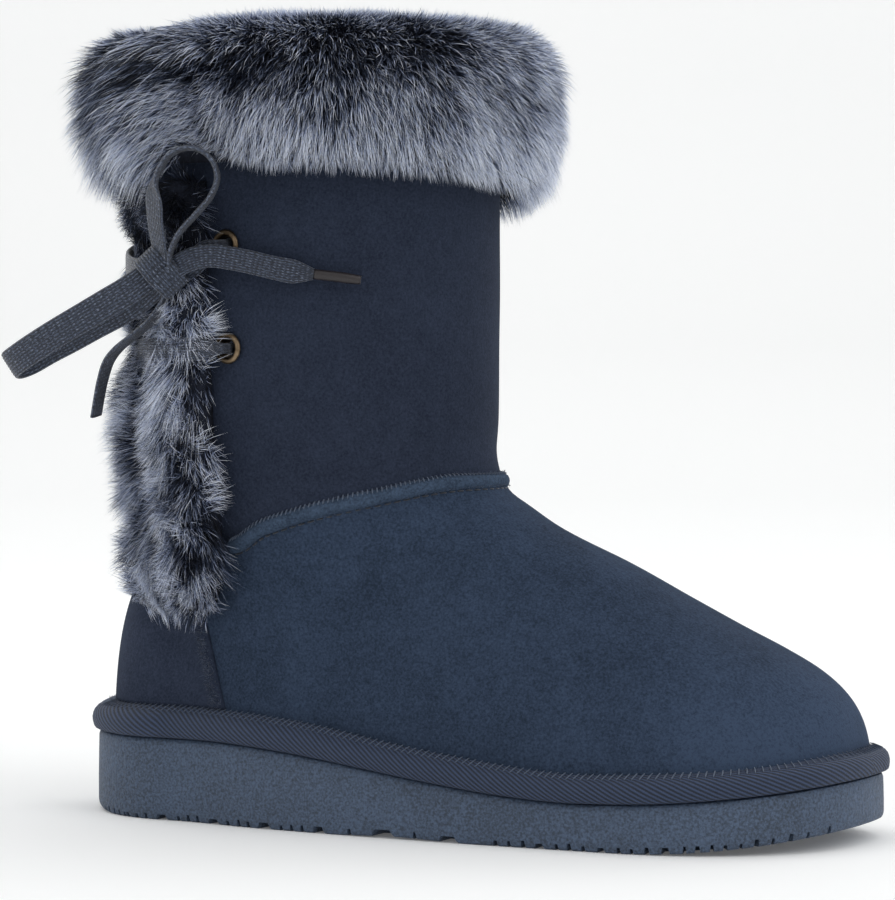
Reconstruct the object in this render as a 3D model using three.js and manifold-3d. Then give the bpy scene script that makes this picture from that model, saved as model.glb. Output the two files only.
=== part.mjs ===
// A right-foot winter boot: a suede foot and shaft sewn together by a raised seam, a heel
// counter, a thick fur cuff, a laced slit edged with fur on the outer back, and a moulded
// sole with a woven binding. The boot stands empty.
// X runs from the heel to the toe, -Y is the outer side, Z is up, and the floor is Z = 0.
import * as THREE from "three";
import { mergeVertices } from "three/addons/utils/BufferGeometryUtils.js";
import Module from "manifold-3d";

// Driving sizes, in millimetres
const SOLE_LENGTH = 262;
const HEEL_WIDTH = 80;
const BALL_OUTER = 52; // from the middle line to the outer edge of the sole at the ball
const BALL_INNER = 48;
const BALL_FROM_TOE = 66; // length of the round front of the sole
const TOE_TURN = 8; // how far the toe's point lies to the inner side
const HEEL_STACK = 26; // floor to the top of the sole at the heel, ball and toe
const BALL_STACK = 14;
const TOE_STACK = 20.5;
const TOE_SPRING = 6.4;
const HEEL_SPRING = 3;
const WAIST_RAISE = 0.6;
const TREAD_DEPTH = 2.8;
const HEEL_INSET = 6.8; // from the edge of the sole in to the upper
const BALL_INSET = 5.4;
const TOE_INSET = 3.4;
const WALL = 2.5;
const GAP = 0.3; // clearance between pieces that touch
const INSTEP_RISE = 90; // top of the sole to the top of the instep
const SHAFT_TOP = 244;
const SHAFT_X = 40.8; // axis of the shaft, ahead of the middle of the heel
const SHAFT_LONG = 54.7; // half sizes of the shaft, along X and Y
const SHAFT_WIDE = 51;
const ANKLE_BLEND = 9; // how softly the shaft flows into the foot
const INSOLE_THICK = 6;
const TAPE_HEIGHT = 9.2; // woven binding round the join of sole and upper
const TAPE_BULGE = 2.4; // how far it stands out past the sole
const COUNTER_THICK = 1.3;
const COUNTER_TOP = 83;
const INSOLE_GAP = 1.8; // between the soft footbed and the inside of the upper
const SEAM_WIDE = 4.6;
const SEAM_HIGH = 2.2;
const SLIT_ANGLE = -135; // round the shaft from the toe, negative on the outer side
const SLIT_FOOT = 84;
const SLIT_WIDE = 7;
const EYELET_HEIGHTS = { lower: 149.6, upper: 181.5 };
const EYELET_OUTER = 9.8;
const EYELET_BORE = 6;
const EYELET_METAL = 0.6;
const FUR_DEPTH = 19; // cuff fur from the leather out to the body of the fur
const CUFF_FOOT = 203;
const CUFF_RISE = 9; // fur above the shaft's top
const TRIM_DEPTH = 15;
const TRIM_WIDE = 25.5;
const TRIM_FOOT = 68;
const LOCK_REACH = 6; // how far the points of the locks stand out of the fur
const LACE_WIDE = 9;
const LACE_THICK = 1.5;

// Sizes that follow from them
const HEEL_RADIUS = HEEL_WIDTH / 2;
const TOE_X = SOLE_LENGTH - HEEL_RADIUS;
const BALL_X = TOE_X - BALL_FROM_TOE;
const UPPER_BACK = HEEL_INSET - HEEL_RADIUS;
const UPPER_LENGTH = TOE_X - TOE_INSET - UPPER_BACK;
const degrees = THREE.MathUtils.radToDeg;
const TRIM_EDGE = 1.05 * TRIM_WIDE; // from the slit to the outermost fur of a trim's body
const EYELET_ANGLE = degrees((TRIM_EDGE + EYELET_OUTER / 2 + 2 * GAP) / SHAFT_LONG);

// The sole's edge between heel and ball, as shares of the ball's outer and inner widths
const WAIST = [
  { along: 0.0, outer: HEEL_RADIUS / BALL_OUTER, inner: HEEL_RADIUS / BALL_INNER },
  { along: 0.25, outer: 0.885, inner: 0.79 },
  { along: 0.5, outer: 0.955, inner: 0.8 },
  { along: 0.75, outer: 0.99, inner: 0.92 },
  { along: 1.0, outer: 1.0, inner: 1.0 },
];

// The upper's top line from heel to toe, as shares of its length and of the instep's rise
const RIDGE = [
  { along: 0.0, rise: 0.0 },
  { along: 0.001, rise: 0.17 },
  { along: 0.006, rise: 0.33 },
  { along: 0.015, rise: 0.43 },
  { along: 0.023, rise: 0.5 },
  { along: 0.045, rise: 0.61 },
  { along: 0.075, rise: 0.73 },
  { along: 0.135, rise: 0.86 },
  { along: 0.25, rise: 0.98 },
  { along: 0.41, rise: 1.03 },
  { along: 0.52, rise: 0.98 },
  { along: 0.6, rise: 0.872 },
  { along: 0.69, rise: 0.77 },
  { along: 0.77, rise: 0.648 },
  { along: 0.836, rise: 0.546 },
  { along: 0.89, rise: 0.46 },
  { along: 0.935, rise: 0.373 },
  { along: 0.967, rise: 0.285 },
  { along: 0.984, rise: 0.21 },
  { along: 0.993, rise: 0.127 },
  { along: 1.0, rise: 0.0 },
];

// The shaft from sole to top, as shares of its height and of its half sizes; shift moves its
// axis along X by a share of its half length
const SHAFT = [
  { up: 0.1, long: 0.8, wide: 0.62, shift: 0.0 },
  { up: 0.28, long: 0.94, wide: 0.82, shift: 0.0 },
  { up: 0.42, long: 0.985, wide: 0.94, shift: 0.0 },
  { up: 0.56, long: 1.0, wide: 1.0, shift: 0.0 },
  { up: 0.75, long: 1.01, wide: 1.03, shift: -0.01 },
  { up: 1.1, long: 1.03, wide: 1.06, shift: -0.03 },
];

const wasm = await Module();
wasm.setup();

// Smooth value of a table's column between its rows, with no overshoot
function read(table, key, at, column) {
  const last = table.length - 1;
  if (at <= table[0][key]) return table[0][column];
  if (at >= table[last][key]) return table[last][column];
  const slope = (i) =>
    (table[i + 1][column] - table[i][column]) / (table[i + 1][key] - table[i][key]);
  const tangent = (i) => {
    if (i === 0 || i === last) return 0;
    const before = slope(i - 1), after = slope(i);
    return before * after <= 0 ? 0 : (2 * before * after) / (before + after);
  };
  const i = table.findIndex((row, n) => n < last && at < table[n + 1][key]);
  const span = table[i + 1][key] - table[i][key];
  const t = (at - table[i][key]) / span;
  const a = table[i][column], b = table[i + 1][column];
  return (
    (1 + 2 * t) * (1 - t) ** 2 * a + t * (1 - t) ** 2 * span * tangent(i) +
    t * t * (3 - 2 * t) * b + t * t * (t - 1) * span * tangent(i + 1)
  );
}

const clamp = THREE.MathUtils.clamp;
const ease = (t) => clamp(t, 0, 1) ** 2 * (3 - 2 * clamp(t, 0, 1));

// Top of the sole and its lugs' lower faces
function soleTop(x) {
  const toBall = ease((x - 0.1 * BALL_X) / (0.85 * BALL_X));
  const toToe = Math.max(0, (x - 0.9 * BALL_X) / (TOE_X - 0.9 * BALL_X)) ** 2;
  return HEEL_STACK + (BALL_STACK - HEEL_STACK) * toBall + (TOE_STACK - BALL_STACK) * toToe;
}
const HEEL_FLAT = -HEEL_RADIUS / 2;
const FOREFOOT_FLAT = { from: 0.72 * BALL_X, to: BALL_X + 7 };
const WAIST_FROM = 0.4 * BALL_X;
function soleFoot(x) {
  if (x < HEEL_FLAT) return HEEL_SPRING * ((HEEL_FLAT - x) / (HEEL_RADIUS + HEEL_FLAT)) ** 2;
  if (x > FOREFOOT_FLAT.to)
    return TOE_SPRING * ((x - FOREFOOT_FLAT.to) / (TOE_X - FOREFOOT_FLAT.to)) ** 1.8;
  const waist = clamp((x - WAIST_FROM) / (FOREFOOT_FLAT.from - WAIST_FROM), 0, 1);
  return WAIST_RAISE * Math.sin(Math.PI * waist) ** 2;
}

// Edge of the plan, inset from the sole's own edge, to the outer or inner side at x
function edge(x, side, inset) {
  const outer = side < 0;
  const ball = outer ? BALL_OUTER : BALL_INNER;
  const heel = HEEL_RADIUS - inset;
  if (x < 0) return heel * Math.sqrt(Math.max(0, 1 - (x / heel) ** 2));
  if (x < BALL_X) {
    const share = read(WAIST, "along", x / BALL_X, outer ? "outer" : "inner");
    return ball * share - inset;
  }
  const turn = outer ? -TOE_TURN : TOE_TURN;
  const run = clamp((x - BALL_X) / (BALL_FROM_TOE - inset), 0, 1);
  return turn + (ball - inset - turn) * (1 - run ** 2.25) ** (1 / 2.25);
}
const insetAt = (x) =>
  HEEL_INSET + (BALL_INSET - HEEL_INSET) * ease(x / BALL_X) +
  (TOE_INSET - BALL_INSET) * ease((x - BALL_X) / BALL_FROM_TOE);
const ridgeY = (x) => TOE_TURN * ease((x - 0.6 * BALL_X) / (TOE_X - 0.6 * BALL_X));

// How deep a point lies in the foot, in the shaft, and in the two flowing into each other
function depthInFoot(x, y, z) {
  const inset = insetAt(x);
  const side = y < ridgeY(x) ? -1 : 1;
  const half = Math.max(0.3, edge(x, side, inset) - side * ridgeY(x));
  const along = (x - UPPER_BACK) / UPPER_LENGTH;
  const rise = Math.max(0.3, INSTEP_RISE * read(RIDGE, "along", along, "rise"));
  const across = Math.abs(y - ridgeY(x)) / half;
  const up = Math.max(0, z - soleTop(x)) / rise;
  return SHAFT_WIDE * 0.8 * (1 - (across ** 2.3 + up ** 2.1) ** (1 / 2.2));
}
function depthInShaft(x, y, z) {
  const up = z / SHAFT_TOP;
  const long = SHAFT_LONG * read(SHAFT, "up", up, "long");
  const wide = SHAFT_WIDE * read(SHAFT, "up", up, "wide");
  const axis = SHAFT_X + SHAFT_LONG * read(SHAFT, "up", up, "shift");
  return SHAFT_WIDE * (1 - Math.hypot((x - axis) / long, y / wide));
}
function depth(x, y, z) {
  const foot = depthInFoot(x, y, z), shaft = depthInShaft(x, y, z);
  const near = Math.max(0, ANKLE_BLEND - Math.abs(foot - shaft)) / ANKLE_BLEND;
  return Math.max(foot, shaft) + (near * near * ANKLE_BLEND) / 4;
}
function outwards(p) {
  const d = 0.2;
  return new THREE.Vector3(
    depth(p.x - d, p.y, p.z) - depth(p.x + d, p.y, p.z),
    depth(p.x, p.y - d, p.z) - depth(p.x, p.y + d, p.z),
    depth(p.x, p.y, p.z - d) - depth(p.x, p.y, p.z + d),
  ).normalize();
}

// The outer skin met by a level ray from an axis
function skin(axis, dx, dy, heightAt) {
  let near = 0, far = 2 * SOLE_LENGTH;
  const at = (r) => {
    const x = axis + r * dx;
    return new THREE.Vector3(x, r * dy, heightAt(x));
  };
  for (let i = 0; i < 34; i++) {
    const mid = (near + far) / 2, p = at(mid);
    if (depth(p.x, p.y, p.z) > 0) near = mid;
    else far = mid;
  }
  return at(near);
}

// A point out from the skin, at an angle in degrees round the shaft's axis and a height
function around(angle, height, out, axis = SHAFT_X) {
  const a = THREE.MathUtils.degToRad(angle);
  const p = skin(axis, Math.cos(a), Math.sin(a), () => height);
  return p.addScaledVector(outwards(p), out);
}

// One level ring of the skin, spaced evenly along its outline
const RING_POINTS = 36;
function ring(heightAt, out) {
  const front = skin(SHAFT_X, 1, 0, heightAt).x, back = skin(SHAFT_X, -1, 0, heightAt).x;
  const axis = (front + back) / 2, long = (front - back) / 2;
  const wide = skin(axis, 0, -1, heightAt).distanceTo(skin(axis, 0, 1, heightAt)) / 2;
  return Array.from({ length: RING_POINTS }, (_, i) => {
    const a = (2 * Math.PI * i) / RING_POINTS;
    const dx = Math.cos(a) * long, dy = Math.sin(a) * wide, r = Math.hypot(dx, dy);
    const p = skin(axis, dx / r, dy / r, heightAt);
    return p.addScaledVector(outwards(p), out);
  });
}

// A closed solid from points and faces, turned so that its faces point out
function solid(points, faces) {
  let volume = 0;
  for (const [a, b, c] of faces)
    volume += points[a].dot(new THREE.Vector3().crossVectors(points[b], points[c]));
  const turned = volume < 0 ? faces.map(([a, b, c]) => [a, c, b]) : faces;
  return new wasm.Manifold(new wasm.Mesh({
    numProp: 3,
    vertProperties: new Float32Array(points.flatMap((p) => p.toArray())),
    triVerts: new Uint32Array(turned.flat()),
  }));
}

// Joins rings of equal length into a skin: closed on itself, or capped at both ends
function loft(rings, capped) {
  const n = rings[0].length, faces = [], points = rings.flat();
  const spans = capped ? rings.length - 1 : rings.length;
  for (let r = 0; r < spans; r++)
    for (let i = 0; i < n; i++) {
      const a = r * n + i, b = r * n + ((i + 1) % n);
      const c = ((r + 1) % rings.length) * n + i, d = ((r + 1) % rings.length) * n + ((i + 1) % n);
      faces.push([a, b, d], [a, d, c]);
    }
  if (capped)
    for (const [r, flip] of [[0, true], [rings.length - 1, false]]) {
      const middle = new THREE.Vector3();
      rings[r].forEach((p) => middle.addScaledVector(p, 1 / n));
      points.push(middle);
      for (let i = 0; i < n; i++) {
        const a = r * n + i, b = r * n + ((i + 1) % n), m = points.length - 1;
        faces.push(flip ? [b, a, m] : [a, b, m]);
      }
    }
  return solid(points, faces);
}

// A slab with the plan of the sole, from levels that each give an inset and a height by x
const SLAB_STATIONS = 24;
function slab(levels) {
  const rings = levels.map(({ inset, height }) => {
    const back = inset - HEEL_RADIUS, front = TOE_X - inset;
    const station = (i) => back + ((front - back) * (1 - Math.cos((Math.PI * i) / SLAB_STATIONS))) / 2;
    const at = (i, side) => {
      const x = station(i);
      return new THREE.Vector3(x, side * edge(x, side, inset), height(x));
    };
    const outer = [], inner = [];
    for (let i = 1; i < SLAB_STATIONS; i++) {
      outer.push(at(i, -1));
      inner.push(at(SLAB_STATIONS - i, 1));
    }
    return [
      new THREE.Vector3(back, 0, height(back)), ...outer,
      new THREE.Vector3(front, TOE_TURN, height(front)), ...inner,
    ];
  });
  const n = rings[0].length, faces = [];
  for (let r = 0; r + 1 < rings.length; r++)
    for (let i = 0; i < n; i++) {
      const a = r * n + i, b = r * n + ((i + 1) % n);
      faces.push([a, b, b + n], [a, b + n, a + n]);
    }
  for (const [base, flip] of [[0, true], [(rings.length - 1) * n, false]])
    for (let i = 0; i < SLAB_STATIONS; i++) {
      const a = base + i, b = base + i + 1, c = base + ((n - i) % n), d = base + n - i - 1;
      const two = i === 0 ? [[a, b, d]] : i === SLAB_STATIONS - 1 ? [[a, b, c]] : [[a, b, d], [a, d, c]];
      two.forEach(([p, q, s]) => faces.push(flip ? [q, p, s] : [p, q, s]));
    }
  return solid(rings.flat(), faces);
}

// A three.js geometry as a solid, placed by a matrix
function placed(geometry, matrix) {
  const bare = geometry.clone();
  bare.deleteAttribute("normal");
  bare.deleteAttribute("uv");
  const merged = mergeVertices(bare.applyMatrix4(matrix), 1e-4);
  const p = merged.attributes.position, points = [], faces = [];
  for (let i = 0; i < p.count; i++) points.push(new THREE.Vector3().fromBufferAttribute(p, i));
  for (let i = 0; i < merged.index.count; i += 3)
    faces.push([0, 1, 2].map((k) => merged.index.getX(i + k)));
  const kept = faces.filter(([a, b, c]) => a !== b && b !== c && c !== a);
  return solid(points, kept);
}
const largest = (made) => made.decompose().sort((a, b) => b.volume() - a.volume())[0];
const union = (solids) => solids.reduce((all, one) => all.add(one));

// A flat or round strip along points, each with its width, its thickness and the way it is wide
function stripOf(rows, sides) {
  const rings = rows.map((row, i) => {
    const before = rows[Math.max(0, i - 1)].at, after = rows[Math.min(rows.length - 1, i + 1)].at;
    const run = after.clone().sub(before).normalize();
    const face = new THREE.Vector3().crossVectors(run, row.side).normalize();
    const side = new THREE.Vector3().crossVectors(face, run).normalize();
    return Array.from({ length: sides }, (_, k) => {
      const a = (2 * Math.PI * (k + 0.5)) / sides;
      const square = 1 / Math.max(Math.abs(Math.cos(a)), Math.abs(Math.sin(a))) ** 0.5;
      return row.at.clone()
        .addScaledVector(side, (Math.cos(a) * square * row.wide) / 2)
        .addScaledVector(face, (Math.sin(a) * square * row.thick) / 2);
    });
  });
  return loft(rings, true);
}

// Sole: a moulded unit with a soft edge, lugs round its rim and grooves across its middle
function outsole() {
  const body = slab([
    { inset: 1.2, height: soleFoot },
    { inset: 0, height: (x) => soleFoot(x) + TREAD_DEPTH + 0.6 },
    { inset: 0.2, height: (x) => soleTop(x) - 1.6 },
    { inset: 1.2, height: soleTop },
  ]);
  const cuts = rimCuts().map(({ x, wide }) => [-1, 1].map((side) => {
    const step = 0.5;
    const p = new THREE.Vector2(x, side * edge(x, side, 0));
    const q = new THREE.Vector2(x + step, side * edge(x + step, side, 0));
    const turn = Math.atan2(q.y - p.y, q.x - p.x);
    const box = new THREE.BoxGeometry(wide, 2 * RIM_LUG, 2 * TREAD_DEPTH);
    const at = new THREE.Matrix4().makeRotationZ(turn).setPosition(p.x, p.y, soleFoot(x));
    return placed(box, at);
  })).flat();
  for (const x of middleGrooves()) {
    const long = 1.1 * HEEL_RADIUS;
    const box = new THREE.BoxGeometry(MIDDLE_GROOVE, long, 2 * TREAD_DEPTH);
    cuts.push(placed(box, new THREE.Matrix4().makeTranslation(x, 0, soleFoot(x))));
  }
  return body.subtract(union(cuts));
}

// The tread from heel to toe: each group repeats a set of small cuts and one wide recess
const RIM_LUG = 9;
const MIDDLE_GROOVE = 3.2;
const MIDDLE_PITCH = 15;
const TREAD = [
  { from: -0.9, to: -0.6, cuts: 1, narrow: 1.6, lug: 3.8, recess: 1.6 },
  { from: -0.42, to: 1.45, cuts: 2, narrow: 1.8, lug: 6.2, recess: 7.5 },
  { from: 1.62, to: 2.75, cuts: 0, narrow: 0, lug: 9, recess: 13 },
  { from: 2.95, to: 4.4, cuts: 2, narrow: 1.8, lug: 6.6, recess: 8 },
  { from: 4.72, to: 5.3, cuts: 1, narrow: 1.6, lug: 4, recess: 1.6 },
]; // from and to are shares of the heel's radius
function rimCuts() {
  const made = [];
  for (const zone of TREAD) {
    let x = zone.from * HEEL_RADIUS;
    while (x < zone.to * HEEL_RADIUS) {
      for (let i = 0; i < zone.cuts; i++) {
        x += zone.lug;
        made.push({ x: x + zone.narrow / 2, wide: zone.narrow });
        x += zone.narrow;
      }
      x += zone.lug;
      made.push({ x: x + zone.recess / 2, wide: zone.recess });
      x += zone.recess;
    }
  }
  return made.filter(({ x, wide }) => x + wide < TOE_X - 1);
}
function middleGrooves() {
  const made = [];
  for (let x = MIDDLE_PITCH / 2; x < FOREFOOT_FLAT.to + MIDDLE_PITCH; x += MIDDLE_PITCH) made.push(x);
  return [-MIDDLE_PITCH / 2, ...made];
}

// Insole: a fleece footbed inside the upper
function insole() {
  const inset = HEEL_INSET + WALL + INSOLE_GAP;
  return slab([
    { inset, height: (x) => soleTop(x) + GAP },
    { inset, height: (x) => soleTop(x) + INSOLE_THICK - 1.5 },
    { inset: inset + 1.5, height: (x) => soleTop(x) + INSOLE_THICK },
  ]);
}

// Upper: one hollow wall from the sole to the collar, with the slit and the eyelet holes
const RING_SHARES = [
  0, 0.035, 0.068, 0.095, 0.118, 0.14, 0.162, 0.185, 0.21, 0.24,
  0.275, 0.31, 0.345, 0.375, 0.398, 0.416, 0.45, 0.54, 0.66, 0.82, 1,
];
const shellHeight = (share) => (x) => {
  const foot = soleTop(x) + GAP;
  return foot + (SHAFT_TOP - foot) * share;
};
function level(points, share) {
  points.forEach((p) => { p.z = shellHeight(share)(p.x); });
  return points;
}
function eyelets() {
  const made = [];
  for (const [row, height] of Object.entries(EYELET_HEIGHTS))
    for (const [side, turn] of [["front", EYELET_ANGLE], ["rear", -EYELET_ANGLE]]) {
      const at = around(SLIT_ANGLE + turn, height, 0);
      made.push({ name: `eyelet_${row}_${side}`, at, out: outwards(at) });
    }
  return made;
}
const EYELET_HOLE = EYELET_BORE + 2 * EYELET_METAL + 2 * GAP;
const alongOut = (out) => new THREE.Quaternion().setFromUnitVectors(new THREE.Vector3(0, 1, 0), out);
const UNIT = new THREE.Vector3(1, 1, 1);
function upper() {
  const outer = RING_SHARES.map((share) => level(ring(shellHeight(share), 0), share));
  const inner = RING_SHARES.map((share) => ring(shellHeight(share), -WALL));
  level(inner[0], 0);
  level(inner[inner.length - 1], 1);
  let shell = loft([...outer, ...inner.reverse()], false);
  const a = THREE.MathUtils.degToRad(SLIT_ANGLE);
  const mouth = SHAFT_TOP - SLIT_FOOT + SLIT_WIDE;
  const slit = new THREE.BoxGeometry(SHAFT_LONG, SLIT_WIDE, mouth);
  const from = new THREE.Matrix4().makeRotationZ(a).setPosition(
    SHAFT_X + SHAFT_LONG * Math.cos(a), SHAFT_LONG * Math.sin(a), SLIT_FOOT + mouth / 2);
  shell = shell.subtract(placed(slit, from));
  for (const { at, out } of eyelets()) {
    const hole = new THREE.CylinderGeometry(EYELET_HOLE / 2, EYELET_HOLE / 2, 6 * WALL, 10);
    shell = shell.subtract(placed(hole, new THREE.Matrix4().compose(at, alongOut(out), UNIT)));
  }
  return shell;
}

// Eyelet: a brass ring with a flange on each side of the leather
function eyelet({ at, out }) {
  const bore = EYELET_BORE / 2, barrel = bore + EYELET_METAL, flange = EYELET_OUTER / 2;
  const top = GAP + 0.2, under = -WALL - GAP - 0.2, plate = 0.9;
  const profile = [
    [bore, under - plate], [flange - 0.3, under - plate], [flange - 0.3, under],
    [barrel, under], [barrel, top], [flange, top], [flange - 0.5, top + plate],
    [bore + 0.3, top + plate], [bore, top + plate - 0.4], [bore, under - plate],
  ].map(([r, y]) => new THREE.Vector2(r, y));
  return placed(new THREE.LatheGeometry(profile, 10), new THREE.Matrix4().compose(at, alongOut(out), UNIT));
}

// Binding: a woven tape that lies on the sole's rim and stands up against the upper
const TAPE = [
  { up: 0.0, over: 0.0 }, { up: 0.0, over: 0.93 }, { up: 0.16, over: 1.04 },
  { up: 0.42, over: 1.1 }, { up: 0.7, over: 1.0 }, { up: 0.9, over: 0.66 }, { up: 1.0, over: 0.3 },
  { up: 1.0, over: 0.0 },
]; // over is a share of the way from the upper out past the sole, at most TAPE_FULL
const TAPE_FULL = 1.1;
function tapeTall(x) {
  return TAPE_HEIGHT * (1 - 0.16 * ease(x / BALL_X));
}
function weltTape() {
  const foot = (x) => soleTop(x) + GAP;
  const head = (x) => foot(x) + tapeTall(x);
  const low = ring(foot, GAP), high = ring(head, GAP);
  const reach = (x) => insetAt(x) + TAPE_BULGE - GAP;
  const rings = TAPE.map(({ up, over }) => low.map((p, i) => {
    const q = p.clone().lerp(high[i], up);
    const way = outwards(p).setZ(0).normalize();
    q.addScaledVector(way, (over * reach(p.x)) / TAPE_FULL);
    return q.setZ(foot(q.x) + tapeTall(q.x) * up);
  }));
  return loft(rings, false);
}

// A patch of even thickness over the skin, from a grid of angles and heights
function patch(columns, rows, place, low, high) {
  const points = [], faces = [], n = rows + 1, count = (columns + 1) * n;
  for (const out of [low, high])
    for (let c = 0; c <= columns; c++)
      for (let r = 0; r <= rows; r++) points.push(place(c / columns, r / rows, out));
  const quad = (a, b, c, d) => faces.push([a, b, c], [a, c, d]);
  for (let c = 0; c < columns; c++)
    for (let r = 0; r < rows; r++) {
      const a = c * n + r;
      quad(a, a + 1, a + n + 1, a + n);
      quad(count + a, count + a + n, count + a + n + 1, count + a + 1);
    }
  for (let c = 0; c < columns; c++) {
    const a = c * n, b = c * n + rows;
    quad(a, a + n, count + a + n, count + a);
    quad(b, count + b, count + b + n, b + n);
  }
  for (let r = 0; r < rows; r++) {
    const a = r, b = columns * n + r;
    quad(a, count + a, count + a + 1, a + 1);
    quad(b, b + 1, count + b + 1, count + b);
  }
  return solid(points, faces);
}

// Heel counter: a suede panel round the heel, its front edge leaning back as it goes up
const LEATHER_SEAT = 3 * GAP; // a curved overlay stands off by its own flats too
const COUNTER_FRONT = { low: 24, high: 10 }; // X of its front edge at the binding and the top
function heelCounter() {
  const bottom = (x) => soleTop(x) + GAP + tapeTall(x) + GAP;
  const place = (across, up, out) => {
    const front = COUNTER_FRONT.low + (COUNTER_FRONT.high - COUNTER_FRONT.low) * up;
    const spread = Math.atan2(HEEL_RADIUS, front);
    const angle = Math.PI + (across - 0.5) * 2 * (Math.PI - spread);
    const height = (x) => bottom(x) + (COUNTER_TOP - bottom(x)) * up;
    const p = skin(0, Math.cos(angle), Math.sin(angle), height);
    const q = p.clone().addScaledVector(outwards(p), out);
    if (up === 0) q.z = bottom(p.x);
    return q;
  };
  return patch(24, 4, place, LEATHER_SEAT, LEATHER_SEAT + COUNTER_THICK);
}

// Raised seam between foot and shaft, from one fur trim round the front to the other
const SEAM_HEIGHTS = [
  { angle: -105, height: 0.815 }, { angle: -90, height: 0.87 }, { angle: -50, height: 0.955 },
  { angle: -15, height: 1.0 }, { angle: 15, height: 1.0 }, { angle: 50, height: 0.955 },
  { angle: 90, height: 0.9 }, { angle: 130, height: 0.86 }, { angle: 160, height: 0.83 },
  { angle: 194, height: 0.81 },
]; // height is a share of the seam's height at the instep
const SEAM_TOP = 108;
function vampSeam() {
  const clear = degrees((TRIM_EDGE + 4 * GAP) / SHAFT_LONG);
  const from = SLIT_ANGLE + clear, to = SLIT_ANGLE + 360 - clear;
  const section = [[-0.5, 0], [-0.36, 0.6], [0, 1], [0.36, 0.6], [0.5, 0]];
  const stations = 40;
  const rings = Array.from({ length: stations + 1 }, (_, i) => {
    const angle = from + ((to - from) * i) / stations;
    const height = SEAM_TOP * read(SEAM_HEIGHTS, "angle", angle, "height");
    const middle = around(angle, height, 0), out = outwards(middle);
    const run = around(angle + 1, height, 0).sub(around(angle - 1, height, 0)).normalize();
    const up = new THREE.Vector3().crossVectors(out, run).normalize();
    return section.map(([across, high]) => {
      const p = middle.clone().addScaledVector(up, across * SEAM_WIDE);
      const back = skin(SHAFT_X, Math.cos(Math.atan2(p.y, p.x - SHAFT_X)),
        Math.sin(Math.atan2(p.y, p.x - SHAFT_X)), () => p.z);
      return back.addScaledVector(outwards(back), 3 * GAP + high * (SEAM_HIGH - 2 * GAP));
    });
  });
  return loft(rings, true);
}

// A lock of fur: a pointed tuft that stands out of the body and leans with the nap
function lock(root, tip, radius) {
  const way = tip.clone().sub(root), long = way.length();
  const cone = new THREE.ConeGeometry(radius, long, 4);
  const turn = new THREE.Quaternion().setFromUnitVectors(new THREE.Vector3(0, 1, 0), way.normalize());
  const middle = root.clone().add(tip).multiplyScalar(0.5);
  return placed(cone, new THREE.Matrix4().compose(middle, turn, UNIT));
}

// Cuff: a deep fur collar over the shaft's top, parted at the slit
const CUFF = [
  { out: 0.0, up: 0.04 }, { out: 0.0, up: "rim" }, { out: -1.0, up: "rim" },
  { out: -1.0, up: 0.86 }, { out: 0.16, up: 0.99 }, { out: 0.45, up: 1.0 }, { out: 0.76, up: 0.9 },
  { out: 0.95, up: 0.7 }, { out: 1.0, up: 0.42 }, { out: 0.84, up: 0.14 }, { out: 0.45, up: 0.0 },
]; // out is a share of the fur's depth, or of the wall where it lies over the leather's edge
const CUFF_PART = 9; // half the angle between the cuff's two ends
const CUFF_DROOP = { by: 8, angle: 65 }; // the cuff hangs lowest on the inner front
const SOFT_SEAT = 2 * GAP; // fur stands a little further off than leather
function cuffPoint(share, row) {
  const angle = SLIT_ANGLE + CUFF_PART + (360 - 2 * CUFF_PART) * share;
  const end = Math.min(share, 1 - share) / 0.045;
  const full = 0.45 + 0.55 * Math.sqrt(1 - Math.max(0, 1 - end) ** 2);
  const turn = THREE.MathUtils.degToRad(angle - CUFF_DROOP.angle);
  const foot = CUFF_FOOT - (CUFF_DROOP.by * (1 + Math.cos(turn))) / 2;
  const height = row.up === "rim" ? SHAFT_TOP + GAP : foot + (SHAFT_TOP + CUFF_RISE - foot) * row.up;
  const out = row.out < 0 ? row.out * (WALL - GAP) : SOFT_SEAT + row.out * FUR_DEPTH * full;
  return around(angle, height, out);
}
function furCuff() {
  const stations = 30;
  const rings = Array.from({ length: stations + 1 }, (_, i) =>
    CUFF.map((row) => cuffPoint(i / stations, row)));
  const locks = [];
  const rows = [
    { from: { out: 0.6, up: 0.72 }, to: { out: 1.0, up: 0.97 }, count: 13 },
    { from: { out: 0.7, up: 0.5 }, to: { out: 1.3, up: 0.4 }, count: 15 },
    { from: { out: 0.6, up: 0.2 }, to: { out: 1.1, up: -0.02 }, count: 15 },
  ];
  rows.forEach(({ from, to, count }, r) => {
    for (let i = 0; i < count; i++) {
      const share = clamp((i + 0.5 + 0.4 * Math.sin(7 * i + r)) / count, 0.02, 0.98);
      const along = share + 0.012 * Math.sin(3 * i + r);
      locks.push(lock(cuffPoint(share, from), cuffPoint(along, to), 6));
    }
  });
  return largest(union([loft(rings, true), ...locks]).subtract(laces(GAP)));
}

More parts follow.
